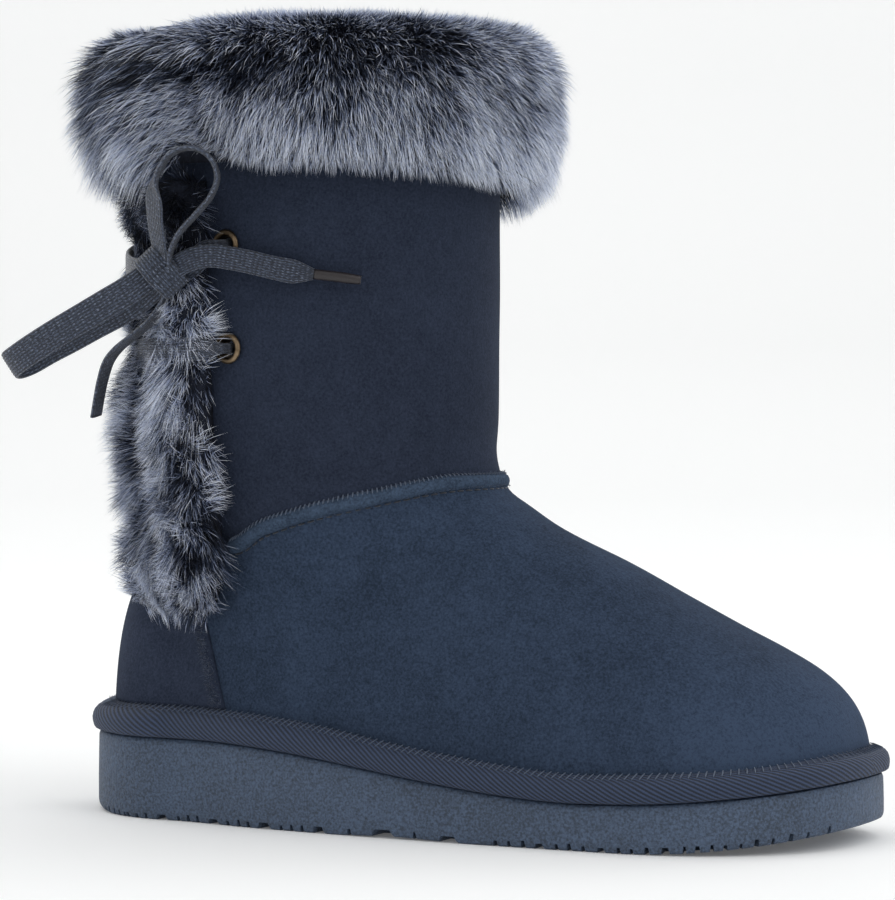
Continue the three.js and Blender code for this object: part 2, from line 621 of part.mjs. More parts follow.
// Trim: fur along one edge of the slit, pressed in where the laces cross it
const TRIM = [
  { over: 0.02, out: 0 }, { over: 0.33, out: 0 }, { over: 0.66, out: 0 }, { over: 0.97, out: 0 },
  { over: 1.05, out: 0.35 },
  { over: 0.9, out: 0.82 }, { over: 0.55, out: 1 }, { over: 0.2, out: 0.97 }, { over: 0.02, out: 0.85 },
]; // over is a share of the trim's width, out of its depth
const LACE_PRESS = { share: 0.62, tall: 9 };
function trimPoint(side, up, row, extra = 0) {
  const top = CUFF_FOOT - GAP - 1;
  const height = TRIM_FOOT + (top - TRIM_FOOT) * up;
  const round = Math.sqrt(1 - Math.max(0, 1 - (up + 0.02) / 0.16) ** 2);
  const pressed = Object.values(EYELET_HEIGHTS).reduce((left, z) =>
    left * (1 - LACE_PRESS.share * Math.exp(-(((height - z) / LACE_PRESS.tall) ** 2))), 1);
  const over = ease((COUNTER_TOP + 9 - height) / 6);
  const seat = SOFT_SEAT + over * (LEATHER_SEAT + COUNTER_THICK + GAP);
  const across = 0.35 + row.over * TRIM_WIDE * (0.35 + 0.65 * round);
  const angle = SLIT_ANGLE + side * THREE.MathUtils.radToDeg(across / SHAFT_LONG);
  return around(angle, height, seat + (row.out * TRIM_DEPTH + extra) * (0.5 + 0.5 * round) * pressed);
}
function furTrim(side) {
  const stations = 18;
  const rings = Array.from({ length: stations + 1 }, (_, i) =>
    TRIM.map((row) => trimPoint(side, i / stations, row)));
  const locks = [];
  for (let i = 0; i < 9; i++) {
    const up = (i + 0.6) / 9;
    const over = 0.35 + 0.3 * (i % 3);
    const tip = Math.max(0.005, up - 0.06);
    locks.push(lock(trimPoint(side, up, { over, out: 0.5 }),
      trimPoint(side, tip, { over: Math.min(over + 0.1, 0.95), out: 1 }, LOCK_REACH), 4.5));
  }
  return largest(union([loft(rings, true), ...locks]).subtract(laces(GAP)));
}

// Laces: a flat woven lace, drawn through the four eyelets and tied in a bow. The lower bar
// crosses the slit outside, the two runs go up inside, and the ends come out at the upper
// eyelets to the knot. Places are angles from the slit, heights and distances off the skin.
const LACE_ROUND = 3.4; // the lace gathered to pass through an eyelet
const PROUD = 3.2; // how far the gathered lace stands straight out of an eyelet
const BAR = [
  { turn: 0.74, off: 6.6 }, { turn: 0.45, off: 8.6 }, { turn: 0.15, off: 9.6 },
  { turn: -0.15, off: 9.6 }, { turn: -0.45, off: 8.6 }, { turn: -0.74, off: 6.6 },
]; // turn is a share of the angle from the slit to the eyelets
const KNOT_FROM_REAR = [
  { turn: -0.72, off: 7.0, drop: 0.8 }, { turn: -0.4, off: 10.5, drop: 3.2 },
  { turn: 0.0, off: 13.0, drop: 5.8 }, { turn: 0.3, off: 14.2, drop: 7.4 },
];
const KNOT_FROM_FRONT = [
  { turn: 0.86, off: 5.0, drop: 2.0 }, { turn: 0.74, off: 6.6, drop: 6.2 },
  { turn: 0.58, off: 9.4, drop: 9.4 },
];
const UP = new THREE.Vector3(0, 0, 1);
const LACE_SIDES = 6;
function laceCrossings(grow) {
  const strip = (rows) => stripOf(rows, LACE_SIDES);
  const { lower, upper: high } = EYELET_HEIGHTS;
  const flat = { wide: 0.8 * LACE_WIDE + 2 * grow, thick: LACE_THICK + 2 * grow };
  const round = { wide: LACE_ROUND + 2 * grow, thick: LACE_ROUND + 2 * grow };
  const over = (turn, height, off, size) => ({
    at: around(SLIT_ANGLE + turn * EYELET_ANGLE, height, off), side: UP, ...size,
  });
  const hole = (turn, height) => {
    const at = around(SLIT_ANGLE + turn * EYELET_ANGLE, height, 0), out = outwards(at);
    return (off) => ({ at: at.clone().addScaledVector(out, off), side: UP, ...round });
  };
  const inside = -WALL - 3.2;
  const parts = [strip(BAR.map(({ turn, off }) => over(turn, lower, off, flat)))];
  for (const [turn, ends, bar] of [[1, KNOT_FROM_FRONT, BAR[0]], [-1, KNOT_FROM_REAR, BAR[5]]]) {
    const low = hole(turn, lower), up = hole(turn, high);
    const next = over((turn + bar.turn) / 2, lower, 5.2, round);
    parts.push(strip([low(inside), low(PROUD + 0.4)]), strip([up(inside), up(PROUD + 0.4)]));
    parts.push(strip([low(PROUD), next, over(bar.turn, lower, bar.off, round)]));
    const runSide = low(0).at.clone().sub(new THREE.Vector3(SHAFT_X, 0, lower)).setZ(0);
    const behind = [0, 0.25, 0.5, 0.75, 1].map((share) => ({
      at: low(inside).at.lerp(up(inside).at, share).addScaledVector(UP, (share - 0.5) * LACE_ROUND),
      side: new THREE.Vector3().crossVectors(UP, runSide), ...round,
    }));
    parts.push(strip(behind));
    const knot = ends.map((row) => over(row.turn, high - row.drop, row.off, flat));
    parts.push(strip([up(PROUD), { ...knot[0], ...round }]), strip(knot));
  }
  return union(parts);
}

// The bow's knot, loops and ends, where they lie in space; wide points across the lace
const TOWARD = new THREE.Vector3(0.42, -0.91, 0); // the side that the bow faces
const ALONG = new THREE.Vector3(0.91, 0.42, 0);
const BOW = {
  lace_knot: {
    side: UP.clone().multiplyScalar(0.75).addScaledVector(ALONG, 0.66), wide: 12.5, thick: 8.5,
    points: [[7.4, -61.3, 176.0], [9.4, -60.4, 174.9], [11.8, -59.3, 173.4], [14.2, -58.2, 171.9],
      [16.2, -57.3, 170.8]],
  },
  lace_loop_upper: {
    side: TOWARD, wide: LACE_WIDE, thick: LACE_THICK,
    points: [[13.2, -62.0, 177.4], [13.4, -64.6, 183.6], [14.6, -68.4, 189.8], [16.8, -72.4, 196.0],
      [20.0, -75.6, 202.4], [24.3, -77.0, 207.4], [29.3, -76.4, 209.8], [33.6, -74.4, 209.4],
      [36.4, -71.4, 206.2], [36.4, -68.4, 201.2], [33.0, -66.2, 195.8], [27.0, -64.4, 190.6],
      [20.8, -63.2, 185.4], [16.8, -61.8, 180.0]],
  },
  lace_loop_rear: {
    side: UP.clone().multiplyScalar(0.84).addScaledVector(ALONG, -0.54), wide: LACE_WIDE,
    thick: LACE_THICK,
    points: [[8.8, -61.8, 172.0], [2.6, -64.2, 167.5], [-4.2, -66.3, 163.4], [-12.3, -68.2, 158.7],
      [-20.6, -69.5, 154.1], [-28.2, -69.8, 149.9], [-35.0, -69.0, 146.2], [-38.8, -66.8, 144.4],
      [-39.4, -62.6, 144.2], [-36.6, -58.9, 145.8], [-29.8, -57.8, 149.4], [-21.8, -57.6, 153.0],
      [-13.6, -57.4, 156.9], [-5.4, -57.0, 160.7], [1.2, -57.0, 164.2], [7.4, -57.8, 168.4]],
  },
  lace_end_front: {
    side: UP, wide: LACE_WIDE, thick: LACE_THICK,
    points: [[17.2, -60.6, 174.4], [22.8, -60.0, 177.0], [29.4, -59.4, 177.9], [36.2, -58.6, 177.0],
      [43.1, -57.6, 175.6], [49.6, -56.2, 174.0], [55.7, -54.6, 172.8], [61.0, -52.6, 172.1]],
  },
  lace_end_rear: {
    side: TOWARD.clone().multiplyScalar(0.95).addScaledVector(ALONG, -0.3), wide: 0.8 * LACE_WIDE,
    thick: LACE_THICK,
    points: [[9.5, -53.6, 164.2], [4.5, -52.0, 158.8], [-2.6, -50.8, 154.0], [-9.6, -49.2, 149.8],
      [-14.6, -47.0, 145.6], [-18.0, -44.8, 140.2], [-20.2, -43.4, 134.6], [-21.9, -42.6, 128.3]],
  },
  aglet_front: {
    side: UP, wide: 3.2, thick: 2.6,
    points: [[61.5, -52.4, 172.0], [68.0, -49.6, 171.2], [74.5, -46.6, 170.2]],
  },
};
function bowPiece(name, grow) {
  const { side, wide, thick, points } = BOW[name];
  const rows = points.map((p, i) => {
    const end = name === "lace_knot" && (i === 0 || i === points.length - 1) ? 0.7 : 1;
    return { at: new THREE.Vector3(...p), side, wide: wide * end + 2 * grow, thick: thick * end + 2 * grow };
  });
  return stripOf(rows, LACE_SIDES);
}
function laces(grow) {
  return union([laceCrossings(grow), ...Object.keys(BOW).map((name) => bowPiece(name, grow))]);
}
function lacePieces() {
  const knot = bowPiece("lace_knot", GAP);
  const made = { lace_crossings: laceCrossings(0).subtract(knot), lace_knot: bowPiece("lace_knot", 0) };
  for (const name of Object.keys(BOW))
    if (name !== "lace_knot") made[name] = bowPiece(name, 0).subtract(knot);
  return made;
}

const COLOURS = {
  suede: 0x2c3648, vamp: 0x303b4e, counter: 0x2a3140, sole: 0x484f5e, tape: 0x3f4553,
  fleece: 0x565e70, fur: 0x6a7182, lace: 0x393d46, brass: 0x6b6048, plastic: 0x2f3034,
};
function mesh(name, made, colour, roughness, metalness = 0) {
  const { numProp, vertProperties, triVerts } = made.getMesh();
  const geometry = new THREE.BufferGeometry()
    .setAttribute("position", new THREE.BufferAttribute(new Float32Array(vertProperties), numProp))
    .setIndex(new THREE.BufferAttribute(new Uint32Array(triVerts), 1));
  geometry.computeVertexNormals();
  const material = new THREE.MeshStandardMaterial({ color: colour, roughness, metalness });
  const one = new THREE.Mesh(geometry, material);
  one.name = name;
  return one;
}

const boot = new THREE.Group();
boot.add(
  mesh("outsole", outsole(), COLOURS.sole, 0.75),
  mesh("insole", insole(), COLOURS.fleece, 1),
  mesh("upper", upper(), COLOURS.suede, 0.95),
  mesh("welt_tape", weltTape(), COLOURS.tape, 0.9),
  mesh("heel_counter", heelCounter(), COLOURS.counter, 0.95),
  mesh("vamp_seam", vampSeam(), COLOURS.vamp, 0.95),
  mesh("fur_cuff", furCuff(), COLOURS.fur, 1),
  mesh("fur_trim_front", furTrim(1), COLOURS.fur, 1),
  mesh("fur_trim_rear", furTrim(-1), COLOURS.fur, 1),
);
for (const [name, made] of Object.entries(lacePieces()))
  boot.add(mesh(name, made, name.startsWith("aglet") ? COLOURS.plastic : COLOURS.lace, 0.7));
for (const one of eyelets()) boot.add(mesh(one.name, eyelet(one), COLOURS.brass, 0.4, 0.9));

export default boot;
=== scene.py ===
import math
import bpy
import numpy as np
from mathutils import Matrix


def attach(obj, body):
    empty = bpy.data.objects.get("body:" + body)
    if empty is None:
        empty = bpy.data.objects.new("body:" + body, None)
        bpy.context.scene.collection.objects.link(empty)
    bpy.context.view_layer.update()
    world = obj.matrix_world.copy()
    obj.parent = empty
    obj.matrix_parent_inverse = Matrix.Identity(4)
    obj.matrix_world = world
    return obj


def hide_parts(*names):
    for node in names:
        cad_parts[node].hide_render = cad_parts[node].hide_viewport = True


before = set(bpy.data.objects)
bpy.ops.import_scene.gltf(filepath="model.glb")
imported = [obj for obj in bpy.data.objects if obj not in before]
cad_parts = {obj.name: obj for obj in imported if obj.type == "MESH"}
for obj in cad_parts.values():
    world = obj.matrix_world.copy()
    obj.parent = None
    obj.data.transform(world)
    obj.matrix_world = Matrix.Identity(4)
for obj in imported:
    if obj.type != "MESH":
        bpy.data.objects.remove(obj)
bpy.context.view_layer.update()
MM = 0.001  # every size below is in millimetres, and every mesh is in metres


# --- Studio -------------------------------------------------------------------------------
# A long portrait lens stands 1.1 m from the boot, level with the middle of its shaft and 25
# degrees round towards the toe. Floor and wall are one sweep of white paper, lit from large
# soft boxes above, in front and on both sides, so the boot throws only a faint shadow. The
# paper also glows of itself, more towards the back, as painted light.
def linear(code):
    """The linear colour of an sRGB hex code."""
    parts = [int(code[i:i + 2], 16) / 255 for i in (1, 3, 5)]
    return [c / 12.92 if c <= 0.04045 else ((c + 0.055) / 1.055) ** 2.4 for c in parts] + [1.0]


def node(tree, kind, links=None, **settings):
    """Adds a shader node with its settings, and sets or links its inputs."""
    made = tree.nodes.new("ShaderNode" + kind)
    for key, value in settings.items():
        setattr(made, key, value)
    for key, value in (links or {}).items():
        if isinstance(value, bpy.types.NodeSocket):
            tree.links.new(value, made.inputs[key])
        else:
            made.inputs[key].default_value = value
    return made


def new_material(name, **uniform):
    """A material with one principled shader, and its uniform values on the shader's sockets."""
    made = bpy.data.materials.new(name)
    made.use_nodes = True
    shader = made.node_tree.nodes["Principled BSDF"]
    for key, value in uniform.items():
        shader.inputs[key.replace("_", " ")].default_value = value
    return made, made.node_tree, shader


def new_object(name, points, faces, material=None, smooth=True):
    """An object from points in millimetres and arrays of faces with three or four corners."""
    mesh = bpy.data.meshes.new(name)
    mesh.vertices.add(len(points))
    mesh.vertices.foreach_set("co", (np.asarray(points) * MM).astype("f").ravel())
    corners = np.concatenate([np.asarray(f).ravel() for f in faces]).astype("i")
    sizes = np.concatenate([np.full(len(f), np.shape(f)[1]) for f in faces])
    mesh.loops.add(len(corners))
    mesh.loops.foreach_set("vertex_index", corners)
    mesh.polygons.add(len(sizes))
    starts = np.concatenate([[0], np.cumsum(sizes)[:-1]]).astype("i")
    mesh.polygons.foreach_set("loop_start", starts)
    mesh.update(calc_edges=True)
    mesh.polygons.foreach_set("use_smooth", np.full(len(sizes), smooth))
    made = bpy.data.objects.new(name, mesh)
    bpy.context.scene.collection.objects.link(made)
    if material:
        mesh.materials.append(material)
    return made


CAMERA_TURN, CAMERA_TILT = 25.0, 0.99
camera = bpy.data.objects.new("camera", bpy.data.cameras.new("camera"))
bpy.context.scene.collection.objects.link(camera)
camera.location = (0.5322, -0.9655, 0.136)
camera.rotation_euler = (math.radians(90 - CAMERA_TILT), 0, math.radians(CAMERA_TURN))
camera.data.lens, camera.data.sensor_width = 134.2, 36.0
camera.data.clip_start, camera.data.clip_end = 0.01, 50
bpy.context.scene.camera = camera
bpy.context.scene.view_settings.view_transform = "Standard"

paper, tree, shader = new_material("white_paper", Roughness=0.9, Specular_IOR_Level=0.2)
shader.inputs["Base Color"].default_value = linear("#f4f5f5")
turned = math.radians(CAMERA_TURN)
back = np.array([-math.sin(turned), math.cos(turned)])
right = np.array([math.cos(turned), math.sin(turned)])
SWEEP = [
    # away from the boot, up, and how brightly the paper glows of itself (painted light)
    (-2500, 0, 0.08), (150, 0, 0.08), (900, 0, 0.17), (1500, 0, 0.19), (1900, 40, 0.2),
    (2200, 180, 0.2), (2400, 460, 0.2), (2500, 900, 0.2), (2500, 3500, 0.2)]
sweep_points = [[*(back * away + right * side), up]
                for away, up, _ in SWEEP for side in (-4000, 4000)]
sweep_faces = [[2 * i, 2 * i + 1, 2 * i + 3, 2 * i + 2] for i in range(len(SWEEP) - 1)]
sweep = new_object("paper_sweep", sweep_points, [sweep_faces], paper)
# Painted light: the paper glows as strongly as its glow attribute says, more towards the back
glow = sweep.data.attributes.new("glow", "FLOAT", "POINT")
glow.data.foreach_set("value", [through for _, _, through in SWEEP for _ in range(2)])
shader.inputs["Emission Color"].default_value = (1, 1, 1, 1)
painted_paper_glow = node(tree, "Attribute", attribute_name="glow")
tree.links.new(painted_paper_glow.outputs["Fac"], shader.inputs["Emission Strength"])

world = bpy.data.worlds.new("studio")
world.use_nodes = True
world.node_tree.nodes["Background"].inputs["Color"].default_value = linear("#fafafa")
world.node_tree.nodes["Background"].inputs["Strength"].default_value = 0.62
bpy.context.scene.world = world
SOFT_BOXES = [
    # name, away from the camera's side, to the right, up, size, watts
    ("top", 0.0, 0.1, 1.7, 1.6, 9.0),
    ("front_right", -1.2, 1.3, 1.3, 1.2, 8.0),
    ("front_left", -1.4, -1.3, 0.9, 1.2, 2.5),
    ("rim_right", 0.9, 1.2, 0.9, 0.8, 3.0),
    ("rim_left", 0.9, -1.2, 0.9, 0.8, 3.0),
]
for name, away, side, up, size, watts in SOFT_BOXES:
    light = bpy.data.lights.new(name, "AREA")
    light.shape, light.size, light.energy = "SQUARE", size, watts
    box = bpy.data.objects.new(name, light)
    spot = back * away + right * side + np.array([0.07, 0])
    box.location = (*spot, up)
    aim = np.array([0.08, 0.0, 0.11]) - np.array(box.location)
    box.rotation_euler = (math.atan2(math.hypot(aim[0], aim[1]), -aim[2]), 0,
                          math.atan2(aim[1], aim[0]) - math.pi / 2)
    bpy.context.scene.collection.objects.link(box)


# --- Bow ----------------------------------------------------------------------------------
# One flat braided lace, 9 mm wide, is tied over the slit. A loop hangs out to the rear and
# its end, bound in a hard tip, lies forward on the shaft. The other loop stands up against
# the cuff and its cut end hangs down. The knot is the lace's own turn round all of them.
LACE_WIDE, LACE_THICK = 9.0, 1.5
LACE_RIBS = 9  # cords of the braid, side by side
TOWARD, ALONG, UP = np.array([0.42, -0.91, 0]), np.array([0.91, 0.42, 0]), np.array([0, 0, 1.0])
REAR_LOOP = [
    [8.8, -61.8, 172.0], [2.6, -64.2, 167.5], [-4.2, -66.3, 163.4], [-12.3, -68.2, 158.7],
    [-20.6, -69.5, 154.1], [-28.2, -69.8, 149.9], [-35.0, -69.0, 146.2], [-38.8, -66.8, 144.4],
    [-39.4, -62.6, 144.2], [-36.6, -58.9, 145.8], [-29.8, -57.8, 149.4], [-21.8, -57.6, 153.0],
    [-13.6, -57.4, 156.9], [-5.4, -57.0, 160.7], [1.2, -57.0, 164.2], [7.4, -57.8, 168.4]]
FRONT_END = [
    [17.2, -60.6, 174.4], [22.8, -60.0, 177.0], [29.4, -59.4, 177.9], [36.2, -58.6, 177.0],
    [43.1, -57.6, 175.6], [49.6, -56.2, 174.0], [55.7, -54.6, 172.8], [61.4, -52.4, 172.0]]
UPPER_LOOP = [
    [13.2, -62.0, 177.4], [13.4, -64.6, 183.6], [14.6, -68.4, 189.8], [16.8, -72.4, 196.0],
    [20.0, -75.6, 202.4], [24.3, -77.0, 207.4], [29.3, -76.4, 209.8], [33.6, -74.4, 209.4],
    [36.4, -71.4, 206.2], [36.4, -68.4, 201.2], [33.0, -66.2, 195.8], [27.0, -64.4, 190.6],
    [20.8, -63.2, 185.4], [16.8, -61.8, 180.0]]
REAR_END = [
    [9.5, -53.6, 164.2], [4.5, -52.0, 158.8], [-2.6, -50.8, 154.0], [-9.6, -49.2, 149.8],
    [-14.6, -47.0, 145.6], [-18.0, -44.8, 140.2], [-20.2, -43.4, 134.6], [-21.9, -42.6, 128.3]]
KNOT_MIDDLE = np.array([11.9, -59.4, 173.3])


def along_curve(rows, step):
    """Rows of numbers drawn through by a smooth curve, about one row for each step of length."""
    rows = np.asarray(rows, float)
    padded = np.vstack([2 * rows[0] - rows[1], rows, 2 * rows[-1] - rows[-2]])
    made = []
    for i in range(len(rows) - 1):
        a, b, c, d = padded[i:i + 4]
        count = max(1, round(float(np.linalg.norm((c - b)[:3])) / step))
        t = (np.arange(count) / count)[:, None]
        made.append(0.5 * (2 * b + (c - a) * t + (2 * a - 5 * b + 4 * c - d) * t ** 2
                           + (3 * b - 3 * c + d - a) * t ** 3))
    return np.vstack([*made, rows[-1:]])


def unit(v):
    return v / np.maximum(np.linalg.norm(v, axis=-1, keepdims=True), 1e-9)


def lengths_along(points):
    """The length of a line of points up to each of them."""
    return np.concatenate([[0], np.cumsum(np.linalg.norm(np.diff(points, axis=0), axis=1))])


def tube_faces(rings, sides, close=True):
    """Faces of a tube of rings, and a fan's middle point at each end when it is closed."""
    a = (np.arange(rings - 1)[:, None] * sides + np.arange(sides)).ravel()
    b = (np.arange(rings - 1)[:, None] * sides + (np.arange(sides) + 1) % sides).ravel()
    faces = [np.stack([a, b, b + sides, a + sides], 1)]
    if close:
        n, last = rings * sides, (rings - 1) * sides
        k = np.arange(sides)
        faces.append(np.stack([(k + 1) % sides, k, np.full(sides, n)], 1))
        faces.append(np.stack([last + k, last + (k + 1) % sides, np.full(sides, n + 1)], 1))
    return faces


def new_lace(name, rows, material, closed=False):
    """A flat braid along rows of x, y, z, the three parts of its wide way, width, thickness."""
    rows = along_curve(rows, 0.9)
    at, side, wide, thick = rows[:, :3], rows[:, 3:6], rows[:, 6:7], rows[:, 7:8]
    run = unit(np.gradient(at, axis=0))
    face = unit(np.cross(run, side))
    side = unit(np.cross(face, run))
    half = 4 * LACE_RIBS
    across = np.concatenate([np.linspace(-0.5, 0.5, half), np.linspace(0.5, -0.5, half)])
    cover = np.concatenate([np.ones(half), -np.ones(half)])
    edge = np.sqrt(np.maximum(0, 1 - np.abs(2 * across) ** 5))
    cords = 0.68 + 0.32 * np.abs(np.sin(math.pi * (across + 0.5) * LACE_RIBS))
    height = cover * (0.12 + 0.88 * edge) * cords / 2
    points = (at[:, None] + side[:, None] * (across[None, :, None] * wide[:, None])
              + face[:, None] * (height[None, :, None] * thick[:, None]))
    n, m = len(rows), len(across)
    faces = tube_faces(n, m, close=False)
    if not closed:
        for base, flip in ((0, 1), ((n - 1) * m, -1)):
            ends = [[base + i, base + i + 1, base + m - 2 - i, base + m - 1 - i][::flip]
                    for i in range(half - 1)]
            faces.append(np.array(ends))
    made = new_object(name, points.reshape(-1, 3), faces, material)
    place = made.data.attributes.new("braid", "FLOAT_VECTOR", "POINT")
    flat = np.zeros((n, m, 3))
    flat[..., 0] = across[None] * LACE_WIDE
    flat[..., 1] = lengths_along(at)[:, None]
    flat[..., 2] = cover[None]
    place.data.foreach_set("vector", flat.astype("f").ravel())
    return made, at


# Polyester braid, waxed: dark grey-blue. Its colour follows the braid's relief, with painted shade
# between the cords and painted glints on the raised fibres
lace_braid, tree, shader = new_material("waxed_polyester_braid", Roughness=0.32, IOR=1.5,
                                        Sheen_Weight=0.15, Sheen_Roughness=0.4)
place = node(tree, "Attribute", attribute_name="braid").outputs["Vector"]
split = node(tree, "SeparateXYZ", {"Vector": place})
BRAID_PITCH = 1.5  # one crossing of the strands along the lace
cord_phase = node(tree, "Math", {0: split.outputs["X"], 1: math.pi * LACE_RIBS / LACE_WIDE},
                  operation="MULTIPLY")
cord_wave = node(tree, "Math", {0: cord_phase.outputs[0]}, operation="SINE")
zigzag = node(tree, "Math", {0: cord_wave.outputs[0]}, operation="ABSOLUTE")
ahead = node(tree, "Math", {0: zigzag.outputs[0], 1: 0.55 * BRAID_PITCH, 2: split.outputs["Y"]},
             operation="MULTIPLY_ADD")
turns = node(tree, "Math", {0: ahead.outputs[0], 1: 2 * math.pi / BRAID_PITCH},
             operation="MULTIPLY")
strand = node(tree, "Math", {0: turns.outputs[0]}, operation="SINE")
stretched = node(tree, "VectorMath", {0: place, 1: (1.6, 0.35, 1.0)}, operation="MULTIPLY")
fibre = node(tree, "TexNoise", {"Vector": stretched.outputs[0], "Scale": 2.0, "Detail": 5.0,
                                "Roughness": 0.75})
uneven = node(tree, "Math", {0: fibre.outputs["Fac"], 1: 1.7, 2: -0.35}, operation="MULTIPLY_ADD")
over_under = node(tree, "Math", {0: strand.outputs[0], 1: 0.07, 2: uneven.outputs[0]},
                  operation="MULTIPLY_ADD")
relief = node(tree, "Math", {0: zigzag.outputs[0], 1: 0.24, 2: over_under.outputs[0]},
              operation="MULTIPLY_ADD")
# Painted shade and glints: low relief is coloured near black, and the highest relief pale grey
tint = node(tree, "ValToRGB", {"Fac": relief.outputs[0]})
for stop, spot, code in zip(tint.color_ramp.elements, (0.35, 1.0), ("#0b0e16", "#a4adbf")):
    stop.position, stop.color = spot, linear(code)
for spot, code in ((0.64, "#262e3e"), (0.82, "#57637a")):
    stop = tint.color_ramp.elements.new(spot)
    stop.color = linear(code)
bump = node(tree, "Bump", {"Height": relief.outputs[0], "Strength": 0.9, "Distance": 0.5 * MM})
tree.links.new(tint.outputs["Color"], shader.inputs["Base Color"])
tree.links.new(bump.outputs["Normal"], shader.inputs["Normal"])


def lace_rows(points, side, wide=LACE_WIDE, thick=LACE_THICK):
    return [[*p, *side, wide, thick] for p in points]


rear_side, front_side = 0.84 * UP - 0.54 * ALONG, UP
front_rows = lace_rows(REAR_LOOP, rear_side)
front_rows += lace_rows([[10.6, -58.8, 170.9], [13.8, -59.8, 172.9]], UP, 8.6)
front_rows += lace_rows(FRONT_END[:-1], front_side, 0.8 * LACE_WIDE)
front_rows += lace_rows(FRONT_END[-1:], front_side, 3.4, 2.4)
front_lace, front_path = new_lace("lace_rear_loop_and_front_end", front_rows, lace_braid)

upper_rows = lace_rows(UPPER_LOOP[:4], unit(0.85 * TOWARD + 0.5 * ALONG))
upper_rows += lace_rows(UPPER_LOOP[4:], TOWARD)
upper_rows += lace_rows([[15.0, -60.0, 175.4], [12.4, -57.2, 169.6]], TOWARD, 8.6)
upper_rows += lace_rows(REAR_END, 0.95 * TOWARD - 0.3 * ALONG, 0.82 * LACE_WIDE)
upper_lace, upper_path = new_lace("lace_upper_loop_and_rear_end", upper_rows, lace_braid)

# The knot's turn: it crosses the front from upper rear to lower front, and closes behind
turn_way = unit(np.array([0.62, 0.28, -0.73]))
turn_rows = []
for i in range(13):
    a = 2 * math.pi * (i / 12 + 0.25)
    spot = KNOT_MIDDLE + turn_way * 7.2 * math.cos(a) + TOWARD * (4.6 * math.sin(a) + 0.4)
    turn_rows.append([*spot, *np.cross(turn_way, TOWARD), 10.4 - 0.9 * abs(math.cos(a)), 1.9])
knot_turn, knot_path = new_lace("lace_knot_turn", turn_rows, lace_braid, closed=True)

# The tip is shrunk plastic film, near black, round the end of the lace
tip_film, tree, shader = new_material("shrunk_plastic_film", Roughness=0.28, IOR=1.49)
crinkle = node(tree, "TexNoise", {"Scale": 700.0, "Detail": 3.0})
film_tint = node(tree, "ValToRGB", {"Fac": crinkle.outputs["Fac"]})
for stop, spot, code in zip(film_tint.color_ramp.elements, (0.35, 0.7), ("#161519", "#352e2f")):
    stop.position, stop.color = spot, linear(code)
tree.links.new(film_tint.outputs["Color"], shader.inputs["Base Color"])
film_bump = node(tree, "Bump", {"Height": crinkle.outputs["Fac"], "Strength": 0.3,
                                "Distance": 0.15 * MM})
tree.links.new(film_bump.outputs["Normal"], shader.inputs["Normal"])
TIP = [[61.5, -52.4, 172.0], [64.8, -51.0, 171.6], [68.0, -49.6, 171.2], [71.2, -48.2, 170.7],
       [74.5, -46.6, 170.2]]
TIP_SIZES = [(3.2, 2.6)] * 4 + [(2.7, 2.1)]  # width and thickness, less at the very end
tip_rows = along_curve([[*p, *size] for p, size in zip(TIP, TIP_SIZES)], 0.8)
tip_run = unit(np.gradient(tip_rows[:, :3], axis=0))
tip_side = unit(np.cross(np.cross(tip_run, UP), tip_run))
tip_face = np.cross(tip_run, tip_side)
turns = np.linspace(0, 2 * math.pi, 24, endpoint=False)
wide_way = tip_side[:, None] * (np.cos(turns)[:, None] * tip_rows[:, None, 3:4] / 2)
thick_way = tip_face[:, None] * (np.sin(turns)[:, None] * tip_rows[:, None, 4:5] / 2)
tip_points = (tip_rows[:, None, :3] + wide_way + thick_way).reshape(-1, 3)
tip_points = np.vstack([tip_points, tip_rows[0, :3], tip_rows[-1, :3]])
lace_tip = new_object("lace_tip", tip_points, tube_faces(len(tip_rows), 24), tip_film)

for piece in (front_lace, upper_lace, knot_turn):
    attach(piece, "root")
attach(lace_tip, "root")
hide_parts("lace_loop_rear", "lace_end_front")
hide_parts("lace_loop_upper", "lace_end_rear")
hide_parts("lace_knot")
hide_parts("aglet_front")


# --- Sole ---------------------------------------------------------------------------------
# A moulded unit of foam rubber, 262 mm long, 26 mm thick at the heel and 14 mm at the ball.
# Its wall has a fine pebbled grain from the mould. Its foot is cut into lugs 1.6 to 6 mm long
# round the rim, with grooves across the middle. It is cemented to the upper under the binding.
SOLE_LENGTH, HEEL_RADIUS, BALL_OUTER, BALL_INNER = 262.0, 40.0, 52.0, 48.0
TOE_X = SOLE_LENGTH - HEEL_RADIUS
BALL_X, BALL_FROM_TOE, TOE_TURN = TOE_X - 66.0, 66.0, 8.0
HEEL_STACK, BALL_STACK, TOE_STACK = 26.0, 14.0, 20.5
TREAD_DEPTH, RIM_LUG = 2.8, 9.0
WAIST = np.array([[0, 40 / 52, 40 / 48], [0.25, 0.885, 0.79], [0.5, 0.955, 0.8], [0.75, 0.99, 0.92],
                  [1, 1, 1]])


def read(table, at, column=1):
    """Smooth value of a column of a table between its rows, with no overshoot."""
    key, value = table[:, 0], table[:, column]
    slope = np.diff(value) / np.diff(key)
    before, after = slope[:-1], slope[1:]
    total = np.where(before + after == 0, 1, before + after)
    both = np.where(before * after > 0, 2 * before * after / total, 0)
    tangent = np.concatenate([[0], both, [0]])
    at = np.clip(at, key[0], key[-1])
    i = np.clip(np.searchsorted(key, at, side="right") - 1, 0, len(key) - 2)
    span = key[i + 1] - key[i]
    t = (at - key[i]) / span
    return ((1 + 2 * t) * (1 - t) ** 2 * value[i] + t * (1 - t) ** 2 * span * tangent[i]
            + t * t * (3 - 2 * t) * value[i + 1] + t * t * (t - 1) * span * tangent[i + 1])


def ease(t):
    t = np.clip(t, 0, 1)
    return t * t * (3 - 2 * t)


